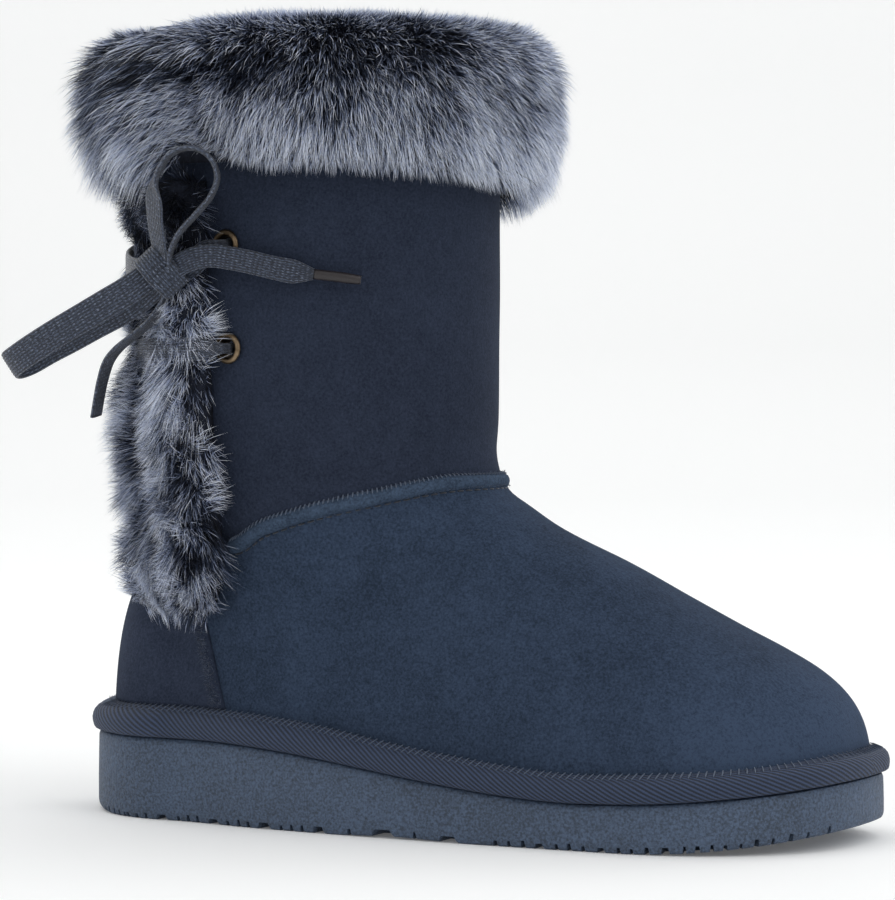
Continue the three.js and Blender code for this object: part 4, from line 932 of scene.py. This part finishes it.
pucker = 0.10 * np.sin(seam_long * 2 * math.pi / 3.1) + 0.12 * np.sin(seam_long / 3.7)
rings = []
for across, high in SECTION:
    off = across * SEAM_WIDE * (1 + 0.06 * np.sin(seam_long / 2.3))
    spot = to_skin(seam_at + seam_up * off[:, None], 0.0)
    rings.append(spot + outwards(spot) * (high * (SEAM_HIGH + pucker))[:, None])
rings = np.array(rings).transpose(1, 0, 2)
m = len(SECTION)
seam_points = np.vstack([rings.reshape(-1, 3), rings[0].mean(0), rings[-1].mean(0)])
seam_suede = new_suede("folded_suede_strip", "#273241", "#46566c", "#273241", "#46566c")
seam = new_object("seam_strip", seam_points, tube_faces(stations, m), seam_suede)
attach(seam, "root")
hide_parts("vamp_seam")

# Polyester sewing thread, tight spun, with a slight sheen: blue-grey on the edges, and near
# black in the suede
def new_thread(name, code):
    made, tree, shader = new_material(name, Roughness=0.55, Sheen_Weight=0.2)
    shader.inputs["Base Color"].default_value = linear(code)
    place = node(tree, "TexCoord").outputs["Object"]
    twist = node(tree, "TexNoise", {"Vector": place, "Scale": 2500.0, "Detail": 2.0})
    bump = node(tree, "Bump", {"Height": twist.outputs["Fac"], "Strength": 0.5,
                               "Distance": 0.1 * MM})
    tree.links.new(bump.outputs["Normal"], shader.inputs["Normal"])
    return made


light_thread = new_thread("spun_polyester_thread", "#4b596e")
dark_thread = new_thread("dark_polyester_thread", "#1b212d")


def new_stitches(name, starts, ends, outs, thick, proud, material):
    """Short bowed threads from starts to ends, joined into one mesh."""
    n, rings_each, sides = len(starts), 5, 6
    t = np.linspace(0, 1, rings_each)
    bow = np.sin(math.pi * t)[None, :, None] * proud
    line = (starts[:, None] * (1 - t)[None, :, None] + ends[:, None] * t[None, :, None]
            + outs[:, None] * bow)
    run = unit(ends - starts)
    side = unit(np.cross(run, outs))
    a = np.linspace(0, 2 * math.pi, sides, endpoint=False)
    half = thick / 2 * np.array([0.55, 0.95, 1, 0.95, 0.55])
    cos_a, sin_a = np.cos(a)[None, None, :, None], np.sin(a)[None, None, :, None]
    ring = side[:, None, None] * cos_a + outs[:, None, None] * sin_a
    points = line[:, :, None] + ring * half[None, :, None, None]
    points = np.concatenate([points.reshape(n, -1, 3), line[:, :1], line[:, -1:]], 1)
    each = points.shape[1]
    faces = [np.vstack([f + each * i for i in range(n)]) for f in tube_faces(rings_each, sides)]
    return new_object(name, points.reshape(-1, 3), faces, material)


def at_lengths(table, step, start=1.0):
    """Rows of a table along the seam, one for each step of its length."""
    spots = np.arange(start, seam_long[-1] - 1, step)
    return rows_at(spots, seam_long, table)


OVERCAST_STEP, LOCK_STEP, STITCH_REACH = 1.5, 3.1, 0.62 * SEAM_WIDE
overcast_out = at_lengths(seam_out, OVERCAST_STEP)
overcast_from = at_lengths(rings[:, 6], OVERCAST_STEP) + overcast_out * 0.3
beyond = to_skin(at_lengths(seam_at + seam_up * STITCH_REACH, OVERCAST_STEP, 1.5), 0.1)
count = len(beyond)
overcast = new_stitches("seam_overcasting", overcast_from[:count], beyond, overcast_out[:count],
                        0.45, 0.25, light_thread)
lock_rows = [at_lengths(seam_at - seam_up * STITCH_REACH, LOCK_STEP, start)
             for start in (1.0, 3.2)]
count = min(len(line) for line in lock_rows)
lock_ends = [to_skin(line[:count], 0.05) for line in lock_rows]
lock_out = at_lengths(seam_out, LOCK_STEP)[:count]
lock_line = new_stitches("seam_lock_stitches", *lock_ends, lock_out, 0.5, 0.15, dark_thread)
count = 1300
spots = random.uniform(0, seam_long[-1], count)
which = random.choice([0.5, 0.44, -0.5], count)[:, None]
roots, ups = rows_at(spots, seam_long, seam_at), rows_at(spots, seam_long, seam_up)
roots = roots + ups * which * SEAM_WIDE
outs = outwards(roots)
roots = roots + outs * 0.8
way = unit(outs + ups * which * 1.5 + random.normal(0, 0.5, (count, 3)))
tips = roots + way * random.uniform(0.6, 1.7, count)[:, None]
seam_fuzz = new_strands("seam_fuzz", roots, roots + outs * 0.6, tips, np.full(count, 0.09),
                        fuzz_suede, random.random(count), 13)
for piece in (overcast, lock_line, seam_fuzz):
    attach(piece, "root")


# --- Binding ------------------------------------------------------------------------------
# A twill tape of dark blue-grey polyester covers the join of sole and upper. It is
# 9 mm tall at the heel and 8 at the ball, folded over a soft cord so that it bulges 2.4 mm past
# the sole, and its upper edge is sewn tight to the suede.
TAPE_BULGE = 2.4
TAPE = [(0.0, 0.0), (0.0, 0.5), (0.0, 0.86), (0.05, 0.97), (0.14, 1.03), (0.28, 1.075),
        (0.42, 1.09), (0.56, 1.06), (0.68, 1.0), (0.8, 0.88), (0.89, 0.7), (0.95, 0.5),
        (1.0, 0.3), (1.03, 0.12), (1.0, 0.0)]
tape_columns = 560


def tape_ring(height_at):
    turn = 2 * math.pi * np.arange(tape_columns) / tape_columns
    p = oval_skin(turn, *oval(height_at), height_at)
    return p + outwards(p) * 0.1


def closed_faces(rings, sides):
    """Faces of a tube that closes on its own first ring."""
    a = (np.arange(rings)[:, None] * sides + np.arange(sides)).ravel()
    b = (np.arange(rings)[:, None] * sides + (np.arange(sides) + 1) % sides).ravel()
    total = rings * sides
    return np.stack([a, b, (b + sides) % total, (a + sides) % total], 1)


low = tape_ring(lambda x: sole_top(x) + GAP)
high = tape_ring(lambda x: sole_top(x) + GAP + tape_tall(x))
tape_long = lengths_along(low)
lump = 1 + 0.025 * np.sin(tape_long / 5.3) * np.sin(tape_long / 17)
tape_rings, tape_places = [], []
drop = 0.0
for i, (up, over) in enumerate(TAPE):
    q = low * (1 - min(up, 1)) + high * min(up, 1)
    way = outwards(q)
    way[:, 2] = 0
    way = unit(way)
    reach = inset_at(low[:, 0]) + TAPE_BULGE - GAP
    q = q + way * (over * lump * reach / 1.1)[:, None]
    q[:, 2] = sole_top(q[:, 0]) + GAP + tape_tall(q[:, 0]) * up + 0.15 * np.sin(tape_long / 9) * up
    if i:
        drop = drop + float(np.linalg.norm(q - tape_rings[-1], axis=1).mean())
    tape_rings.append(q)
    flat = np.zeros((tape_columns, 3))
    flat[:, 0], flat[:, 1] = tape_long, drop
    tape_places.append(flat)
tape_points = np.array(tape_rings).reshape(-1, 3)
twill, tree, shader = new_material("woven_polyester_twill", Roughness=0.75, IOR=1.5,
                                   Sheen_Weight=0.04, Sheen_Roughness=0.4)
place = node(tree, "Attribute", attribute_name="weave").outputs["Vector"]
split = node(tree, "SeparateXYZ", {"Vector": place})
TWILL_PITCH = 1.4  # real ribs are 0.8 mm apart, and are drawn a little coarser to show
lean = node(tree, "Math", {0: split.outputs["Y"], 1: 1.5, 2: split.outputs["X"]},
            operation="MULTIPLY_ADD")
turned_phase = node(tree, "Math", {0: lean.outputs[0], 1: 2 * math.pi / TWILL_PITCH * 0.62},
                    operation="MULTIPLY")
rib = node(tree, "Math", {0: turned_phase.outputs[0]}, operation="SINE")
yarn = node(tree, "TexNoise", {"Vector": place, "Scale": 2.6, "Detail": 4.0, "Roughness": 0.7})
weave = node(tree, "Math", {0: rib.outputs[0], 1: 0.35, 2: yarn.outputs["Fac"]},
             operation="MULTIPLY_ADD")
twill_tint = node(tree, "ValToRGB", {"Fac": weave.outputs[0]})
for stop, spot, code in zip(twill_tint.color_ramp.elements, (0.15, 0.85), ("#101929", "#3b4c6c")):
    stop.position, stop.color = spot, linear(code)
twill_bump = node(tree, "Bump", {"Height": weave.outputs[0], "Strength": 1.0, "Distance": 0.5 * MM})
tree.links.new(twill_tint.outputs["Color"], shader.inputs["Base Color"])
tree.links.new(twill_bump.outputs["Normal"], shader.inputs["Normal"])
tape = new_object("binding_tape", tape_points, [closed_faces(len(TAPE), tape_columns)], twill)
weave_at = tape.data.attributes.new("weave", "FLOAT_VECTOR", "POINT")
weave_at.data.foreach_set("vector", np.array(tape_places).astype("f").ravel())
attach(tape, "root")
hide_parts("welt_tape")

# Stitches of the light thread wrap the tape's upper edge
TAPE_STITCH_STEP = 2.3
spots = np.arange(0.5, tape_long[-1], TAPE_STITCH_STEP)
edge_low, edge_high = [rows_at(spots + lead, tape_long, ring)
                       for ring, lead in ((tape_rings[10], 0.0), (tape_rings[13], 0.7))]
edge_low = edge_low + outwards(edge_low) * 0.25
edge_high = edge_high + outwards(edge_high) * 0.15 + UP * 0.5
tape_stitches = new_stitches("binding_edge_stitches", edge_low, edge_high, outwards(edge_low),
                             0.45, 0.2, light_thread)
count = 1500
pick = random.integers(0, tape_columns, count)
pick = pick[low[pick, 0] < TOE_X - 22]
count = len(pick)
roots = tape_rings[12][pick] + random.normal(0, 0.3, (count, 3))
outs = outwards(roots)
roots = roots + outs * 0.2
way = unit(outs + UP * 0.8 + random.normal(0, 0.7, (count, 3)))
tips = roots + way * random.uniform(0.5, 1.6, count)[:, None]
tape_fuzz = new_strands("binding_edge_fuzz", roots, roots + outs * 0.4, tips, np.full(count, 0.09),
                        fuzz_suede, random.random(count), 14)
for piece in (tape_stitches, tape_fuzz):
    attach(piece, "root")


# --- Eyelets ------------------------------------------------------------------------------
# Four brass eyelets, rolled from 0.6 mm sheet and set through the leather, each with a domed
# flange outside and a flat one inside. The brass is antiqued, and mottled from a dark brown to a
# dull tan.
brass, tree, shader = new_material("antiqued_brass", Metallic=1.0, Roughness=0.38)
place = node(tree, "TexCoord").outputs["Object"]
patina = node(tree, "TexNoise", {"Vector": place, "Scale": 600.0, "Detail": 4.0, "Roughness": 0.6})
brass_tint = node(tree, "ValToRGB", {"Fac": patina.outputs["Fac"]})
for stop, spot, code in zip(brass_tint.color_ramp.elements, (0.3, 0.75), ("#4f4233", "#96836a")):
    stop.position, stop.color = spot, linear(code)
tree.links.new(brass_tint.outputs["Color"], shader.inputs["Base Color"])
brass_bump = node(tree, "Bump", {"Height": patina.outputs["Fac"], "Strength": 0.15,
                                 "Distance": 0.1 * MM})
tree.links.new(brass_bump.outputs["Normal"], shader.inputs["Normal"])
bore, flange = EYELET_BORE / 2, EYELET_OUTER / 2
PROFILE = [(bore, -WALL - 1.3), (flange - 0.3, -WALL - 1.3), (flange - 0.3, -WALL - 0.5),
           (bore + EYELET_METAL, -WALL - 0.5), (bore + EYELET_METAL, 0.4), (flange, 0.4),
           (flange + 0.02, 0.65), (flange - 0.2, 1.05), (flange - 0.6, 1.35), (bore + 0.75, 1.45),
           (bore + 0.3, 1.25), (bore + 0.08, 0.9), (bore, 0.4)]
NAMES = ["eyelet_lower_front", "eyelet_lower_rear", "eyelet_upper_front", "eyelet_upper_rear"]
for (turn, height), name in zip(eyelet_spots, NAMES):
    at, out, ways = eyelet_circle(turn, height, 48)
    points = np.vstack([at + out * h + ways * r for r, h in PROFILE])
    made = new_object(name + "_brass", points, [closed_faces(len(PROFILE), 48)], brass)
    made.data.set_sharp_from_angle(angle=math.radians(50))
    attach(made, "root")
    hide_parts(name)


# --- Lacing -------------------------------------------------------------------------------
# The same lace runs from the knot through the upper front eyelet, down inside, out at the
# lower one, across the slit, in again, up inside and out to the knot. It is gathered round
# where it passes an eyelet, and flat across the slit.
LACE_ROUND, PROUD = 3.4, 3.2
BAR = [(0.74, 6.6), (0.45, 8.6), (0.15, 9.6), (-0.15, 9.6), (-0.45, 8.6), (-0.74, 6.6)]
FROM_FRONT = [(0.86, 5.0, 2.0), (0.74, 6.6, 6.2), (0.58, 9.4, 9.4)]
FROM_REAR = [(-0.72, 7.0, 0.8), (-0.4, 10.5, 3.2), (0.0, 13.0, 5.8), (0.3, 14.2, 7.4)]
flat_size, round_size = (0.8 * LACE_WIDE, LACE_THICK), (LACE_ROUND, LACE_ROUND)


def lace_spot(turn, height, off, size, side=UP):
    at = around(np.array([SLIT_ANGLE + turn * EYELET_ANGLE]), height, off)[0]
    return [*at, *side, *size]


def through_eyelets(turn, first, last):
    """In through one eyelet of a side, along the inside, and out through the other."""
    inward, outward = [[lace_spot(turn, height, off, round_size)
                        for off in (PROUD, 0.0, -WALL - 3.2)] for height in (first, last)]
    inside = lace_spot(turn, (high_z + low_z) / 2, -WALL - 4.0, round_size)
    return [*inward, inside, *outward[::-1]]


low_z, high_z = EYELET_HEIGHTS
route = [lace_spot(turn, high_z - drop, off, flat_size)
         for turn, off, drop in reversed(FROM_FRONT)]
route += through_eyelets(1, high_z, low_z)
route += [lace_spot(turn, low_z, off, flat_size) for turn, off in BAR]
route += through_eyelets(-1, low_z, high_z)
route += [lace_spot(turn, high_z - drop, off, flat_size) for turn, off, drop in FROM_REAR]
lacing, lacing_path = new_lace("lace_through_eyelets", route, lace_braid)
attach(lacing, "root")
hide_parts("lace_crossings")


# --- Fur ----------------------------------------------------------------------------------
# Long pile, 19 mm deep on the cuff, up to 27 where it ends at the slit, and 15 on two strips
# beside the slit. Each hair goes from nearly black through slate to silver. It falls down and
# out in small clumps, stands up along the cuff's crown, and is pressed down under the laces.
pile, tree, shader = new_material("long_faux_fur_pile", Roughness=0.55, Specular_IOR_Level=0.3)
along = node(tree, "Attribute", attribute_name="along")
tone = node(tree, "Attribute", attribute_name="tone")
later = node(tree, "Math", {0: tone.outputs["Fac"], 1: 0.5, 2: along.outputs["Fac"]},
             operation="MULTIPLY_ADD")
placed_share = node(tree, "Math", {0: later.outputs[0], 1: 1 / 1.5}, operation="MULTIPLY")
pile_tint = node(tree, "ValToRGB", {"Fac": placed_share.outputs[0]})
ramp = pile_tint.color_ramp
for stop, spot, code in zip(ramp.elements, (0.42, 0.86), ("#0b0d13", "#f0f5ff")):
    stop.position, stop.color = spot, linear(code)
for spot, code in ((0.56, "#1a1e29"), (0.66, "#414e69"), (0.74, "#b0bddc")):
    stop = ramp.elements.new(spot)
    stop.color = linear(code)
tree.links.new(pile_tint.outputs["Color"], shader.inputs["Base Color"])
underfur, tree, shader = new_material("dense_underfur", Roughness=1.0, Specular_IOR_Level=0.1)
place = node(tree, "TexCoord").outputs["Object"]
wool = node(tree, "TexNoise", {"Vector": place, "Scale": 500.0, "Detail": 4.0})
under_tint = node(tree, "ValToRGB", {"Fac": wool.outputs["Fac"]})
under_tint.color_ramp.elements[0].color = linear("#0e1016")
under_tint.color_ramp.elements[1].color = linear("#2a2e3a")
tree.links.new(under_tint.outputs["Color"], shader.inputs["Base Color"])
under_bump = node(tree, "Bump", {"Height": wool.outputs["Fac"], "Strength": 1.0,
                                 "Distance": 1.5 * MM})
tree.links.new(under_bump.outputs["Normal"], shader.inputs["Normal"])

FUR_DEPTH, CUFF_FOOT, CUFF_RISE, CUFF_PART = 19.0, 203.0, 9.0, 9.0
CUFF_DROOP, DROOP_ANGLE = 8.0, 65.0
LACE_REACH, LACE_CLEAR = 5.6, 1.4  # how near a lace presses a hair, and how far under it
lace_samples = np.vstack([front_path[::3], upper_path[::3], knot_path[::2],
                          lacing_path[lacing_path[:, 2] > 165][::3]])


def cuff_point(share, out, up):
    """A point of the cuff: share of the way round, out by shares of its depth, up by shares."""
    angle = SLIT_ANGLE + CUFF_PART + (360 - 2 * CUFF_PART) * share
    end = np.minimum((share + 0.04) / 0.05, (1 - share) / 0.045)
    full = 0.45 + 0.55 * np.sqrt(1 - np.clip(1 - end, 0, 1) ** 2)
    swell = np.exp(-(share / 0.045) ** 2), np.exp(-((1 - share) / 0.07) ** 2)
    full = full * (1 + 0.42 * swell[0] + 0.42 * swell[1])
    foot = CUFF_FOOT - CUFF_DROOP * (1 + np.cos(np.radians(angle - DROOP_ANGLE))) / 2
    height = foot + (SHAFT_TOP + CUFF_RISE - foot) * up
    return around(angle, height, 0.4 + out * FUR_DEPTH * full)


def under_laces(roots, tips):
    """Presses hairs down where a lace lies over them."""
    normals = outwards(roots)
    reach = np.sum((tips - roots) * normals, 1)
    limit = np.full(len(roots), 1e3)
    for p in lace_samples:
        v = p - tips
        over = v - normals * np.sum(v * normals, 1)[:, None]
        close = np.sum(over * over, 1) < LACE_REACH ** 2
        above = np.sum((p - roots) * normals, 1)
        limit = np.where(close & (above > 0.5), np.minimum(limit, above - LACE_CLEAR), limit)
    down = np.clip(reach - np.maximum(limit, 1.0), 0, None)
    return tips - normals * down[:, None]


# The cuff's outline, met by the hairs' tips from its foot over its crown to its inner rim
TIP_LINE = np.array([[0, 0.5, 0.0], [0.14, 0.95, 0.08], [0.34, 1.18, 0.38], [0.55, 1.12, 0.64],
                     [0.72, 0.86, 0.86], [0.86, 0.48, 0.99], [1, 0.04, 1.0]])
ROOT_LINE = np.array([[0, 0.04, 0.14], [0.14, 0.05, 0.32], [0.34, 0.05, 0.56], [0.55, 0.06, 0.74],
                      [0.72, 0.06, 0.86], [0.86, 0.0, 0.92], [1, -0.06, 0.92]])
CUFF_HAIRS, CUFF_PATCHES = 92000, 4
CLUMPS_ROUND, CLUMPS_UP = 125, 9


def on_line(line, at):
    """The two values of an outline's rows, at shares of its length."""
    return np.interp(at, line[:, 0], line[:, 1]), np.interp(at, line[:, 0], line[:, 2])


random = np.random.default_rng(21)
spot = random.random(CUFF_HAIRS)
t = random.random(CUFF_HAIRS) ** 0.92
clump_s = np.floor(spot * CLUMPS_ROUND + 0.5 * np.sin(t * 40))
clump_t = np.floor(t * CLUMPS_UP + 0.5 * np.sin(spot * 300))
jitter = np.sin(clump_s * 12.9898 + clump_t * 78.233) * 43758.5453
jitter = jitter - np.floor(jitter)
middle_s = (clump_s + 0.1 + 0.8 * jitter) / CLUMPS_ROUND
middle_t = (clump_t + 0.1 + 0.8 * ((jitter * 7) % 1)) / CLUMPS_UP
pull = random.uniform(0.05, 0.6, CUFF_HAIRS)
tip_s = (spot + (middle_s - spot) * pull + random.normal(0, 0.006, CUFF_HAIRS)
         + 0.004 * np.sin(spot * 70))
tip_t = np.clip(t + (middle_t - t) * pull + random.normal(0, 0.045, CUFF_HAIRS), 0, 1)
long = (0.86 + 0.2 * random.random(CUFF_HAIRS)) * (0.93 + 0.12 * jitter)
long = long + 0.35 * random.random(CUFF_HAIRS) ** 3 * ease((t - 0.45) / 0.25) * ease((1 - t) / 0.1)
root_out, root_up = on_line(ROOT_LINE, t)
tip_out, tip_up = on_line(TIP_LINE, tip_t)
to_inner = np.cos(np.radians(SLIT_ANGLE + 360 * spot - DROOP_ANGLE))
inner_droop = 0.09 * np.clip(to_inner, 0, 1) * (1 - tip_t) ** 2
rear_end = np.exp(-((1 - spot) / 0.06) ** 2)
front_end = np.exp(-(spot / 0.028) ** 2)
over_loop = np.exp(-((spot - 0.062) / 0.028) ** 2)
near_slit = inner_droop + (0.26 * front_end + 0.22 * rear_end - 0.2 * over_loop) * (1 - tip_t) ** 2
near_slit = near_slit + 0.15 * np.exp(-(spot / 0.05) ** 2) * ease((tip_t - 0.35) / 0.4)
tip_out = root_out + (tip_out - root_out) * long
tip_up = root_up + (tip_up - root_up) * long - near_slit
roots = cuff_point(np.clip(spot, 0.001, 0.999), root_out, root_up)
tip_s = tip_s - 0.04 * np.exp(-(spot / 0.03) ** 2)  # the front end spreads over the slit
tips = cuff_point(np.clip(tip_s, -0.04, 1), tip_out, tip_up)
bend_out = root_out + (tip_out - root_out) * 0.78
bend_up = root_up + (tip_up - root_up) * 0.22
bends = cuff_point(np.clip((spot + tip_s) / 2, 0, 1), bend_out, bend_up)
pressed_tips = under_laces(roots, tips)
bends = bends + (pressed_tips - tips) * 0.6
band_wide = 0.14 + 0.08 * np.exp(-(spot / 0.05) ** 2)
dark_band = np.exp(-((t - 0.5 - 0.5 * np.minimum(spot, 0.24)) / band_wide) ** 2)
dark_band = dark_band * ease((0.36 - spot) / 0.12)
light = 0.4 * np.exp(-((t - 0.12) / 0.18) ** 2) + 0.65 * ease((t - 0.8) / 0.1)
hair_tone = 0.95 * jitter + random.normal(0.12, 0.36, CUFF_HAIRS)
# Painted shade: hairs at the cuff's rear end, beside the slit, are darkened
hair_tone = np.clip(hair_tone - 0.5 * rear_end - 0.7 * dark_band + light, 0, 1)
patch_of = np.minimum((spot * CUFF_PATCHES).astype(int), CUFF_PATCHES - 1)
for i, side in enumerate(("outer", "front", "inner", "rear")):
    mine = patch_of == i
    hairs = new_strands("cuff_pile_" + side, roots[mine], bends[mine], pressed_tips[mine],
                        random.uniform(0.13, 0.28, mine.sum()), pile, hair_tone[mine], 30 + i)
    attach(hairs, "root")
    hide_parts("fur_cuff")
BODY = [(0.0, 0.12), (0.35, 0.08), (0.55, 0.2), (0.66, 0.45), (0.62, 0.68), (0.48, 0.86),
        (0.25, 0.94), (0.0, 0.95), (-0.1, 0.93), (-0.1, 0.86), (0.0, 0.84)]
s = np.linspace(0, 1, 150)
cuff_body = np.array([cuff_point(s, out, up) for out, up in BODY]).transpose(1, 0, 2)
body_points = np.vstack([cuff_body.reshape(-1, 3), cuff_body[0].mean(0), cuff_body[-1].mean(0)])
cuff_under = new_object("cuff_underfur", body_points, tube_faces(150, len(BODY)), underfur)
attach(cuff_under, "root")

TRIM_FOOT, TRIM_TOP = 68.0, CUFF_FOOT - GAP - 1
TRIM_LINE = np.array([[0, -0.06, 0.5], [0.12, 0.02, 0.9], [0.35, 0.28, 1.02], [0.6, 0.62, 1.02],
                      [0.82, 0.94, 0.8], [1, 1.1, 0.3]])
STRIP_BODY = [(0.05, 0), (0.95, 0), (0.98, 0.3), (0.8, 0.52), (0.5, 0.6), (0.2, 0.56), (0.05, 0.4)]


def trim_point(side, up, over, out):
    """A point of a strip: up by shares of its height, across it, out by shares of its depth."""
    height = TRIM_FOOT + (TRIM_TOP - TRIM_FOOT) * up
    round_foot = np.sqrt(1 - np.clip(1 - (up + 0.02) / 0.16, 0, 1) ** 2)
    pressed = np.ones_like(height)
    for z, pinch in zip(EYELET_HEIGHTS, (0.3, 0.62 if side > 0 else 0.3)):
        pressed = pressed * (1 - pinch * np.exp(-((height - z) / 9) ** 2))
    seat = 0.4 + ease((COUNTER_TOP + 9 - height) / 6) * 2.0
    across = 0.35 + over * TRIM_WIDE * (0.35 + 0.65 * round_foot)
    angle = SLIT_ANGLE + side * np.degrees(across / SHAFT_LONG)
    return around(angle, height, seat + out * TRIM_DEPTH * (0.5 + 0.5 * round_foot) * pressed)


TRIM_HAIRS = 19000
TRIM_CLUMPS_UP, TRIM_CLUMPS_OVER = 34, 6
for side, name in ((1, "front"), (-1, "rear")):
    random = np.random.default_rng(50 + side)
    up, t = random.uniform(0.0, 1.0, TRIM_HAIRS), random.random(TRIM_HAIRS)
    clump_u = np.floor(up * TRIM_CLUMPS_UP + 1.3 * np.sin(t * 8 + up * 31 + side)
                       + 0.5 * np.sin(t * 20))
    clump_t = np.floor(t * TRIM_CLUMPS_OVER + 0.9 * np.sin(up * 47 + 2 * side))
    jitter = np.sin(clump_u * 12.9898 + clump_t * 78.233 + side) * 43758.5453
    jitter = jitter - np.floor(jitter)
    pull = random.uniform(0.1, 0.8, TRIM_HAIRS)
    tip_t = t + ((clump_t + 0.5) / TRIM_CLUMPS_OVER - t) * pull
    tip_t = np.clip(tip_t + random.normal(0, 0.03, TRIM_HAIRS), 0, 1)
    swing = 0.13 * (((jitter * 11) % 1) - 0.42) + random.normal(0, 0.012, TRIM_HAIRS)
    to_clump = np.clip((clump_u + 0.2 + 0.6 * jitter) / TRIM_CLUMPS_UP - up, -0.03, 0.03)
    lie = up + to_clump * pull - random.uniform(0.02, 0.07, TRIM_HAIRS) + swing
    lie = np.maximum(lie, 0.01 - 0.07 * random.random(TRIM_HAIRS) ** 2)
    long = (0.84 + 0.25 * random.random(TRIM_HAIRS)) * (0.92 + 0.14 * jitter)
    tip_over, tip_out = on_line(TRIM_LINE, tip_t)
    if side > 0:
        fuller = 0.14 * ease((0.5 - up) / 0.3)
    else:
        fuller = 0.3 * np.exp(-((up - 0.46) / 0.13) ** 2) - 0.06
    tip_over = (tip_over + 0.5 * (((jitter * 5) % 1) - 0.5) + random.normal(0, 0.07, TRIM_HAIRS)
                + fuller * tip_t)
    roots = trim_point(side, up, 0.06 + 0.86 * t, np.full(TRIM_HAIRS, 0.03))
    if side < 0:
        long = long * (1 + 0.35 * np.exp(-((up - 0.44) / 0.2) ** 2))
    tips = trim_point(side, lie, tip_over, tip_out * long)
    bends = trim_point(side, up * 0.7 + lie * 0.3, 0.06 + 0.86 * t, tip_out * 0.65)
    pressed_tips = under_laces(roots, tips)
    bends = bends + (pressed_tips - tips) * 0.6
    hair_tone = 1.1 * ((jitter * 3) % 1) - 0.1 + random.normal(0, 0.22, TRIM_HAIRS)
    if side > 0:
        hair_tone = hair_tone + 0.45 * np.exp(-((up - 0.68) / 0.08) ** 2)
    hair_tone = np.clip(hair_tone - 0.5 * ease((up - 0.8) / 0.08), 0, 1)
    hairs = new_strands("slit_pile_" + name, roots, bends, pressed_tips,
                        random.uniform(0.15, 0.32, TRIM_HAIRS), pile, hair_tone, 60 + side)
    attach(hairs, "root")
    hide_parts("fur_trim_" + name)
    u = np.linspace(0, 1, 60)
    strip_body = np.array([trim_point(side, u, np.full(60, over), np.full(60, out))
                           for over, out in STRIP_BODY]).transpose(1, 0, 2)
    strip_ends = strip_body[0].mean(0), strip_body[-1].mean(0)
    strip_points = np.vstack([strip_body.reshape(-1, 3), *strip_ends])
    strip_faces = [f[:, ::side] for f in tube_faces(60, 7)]
    under = new_object("slit_underfur_" + name, strip_points, strip_faces, underfur)
    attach(under, "root")
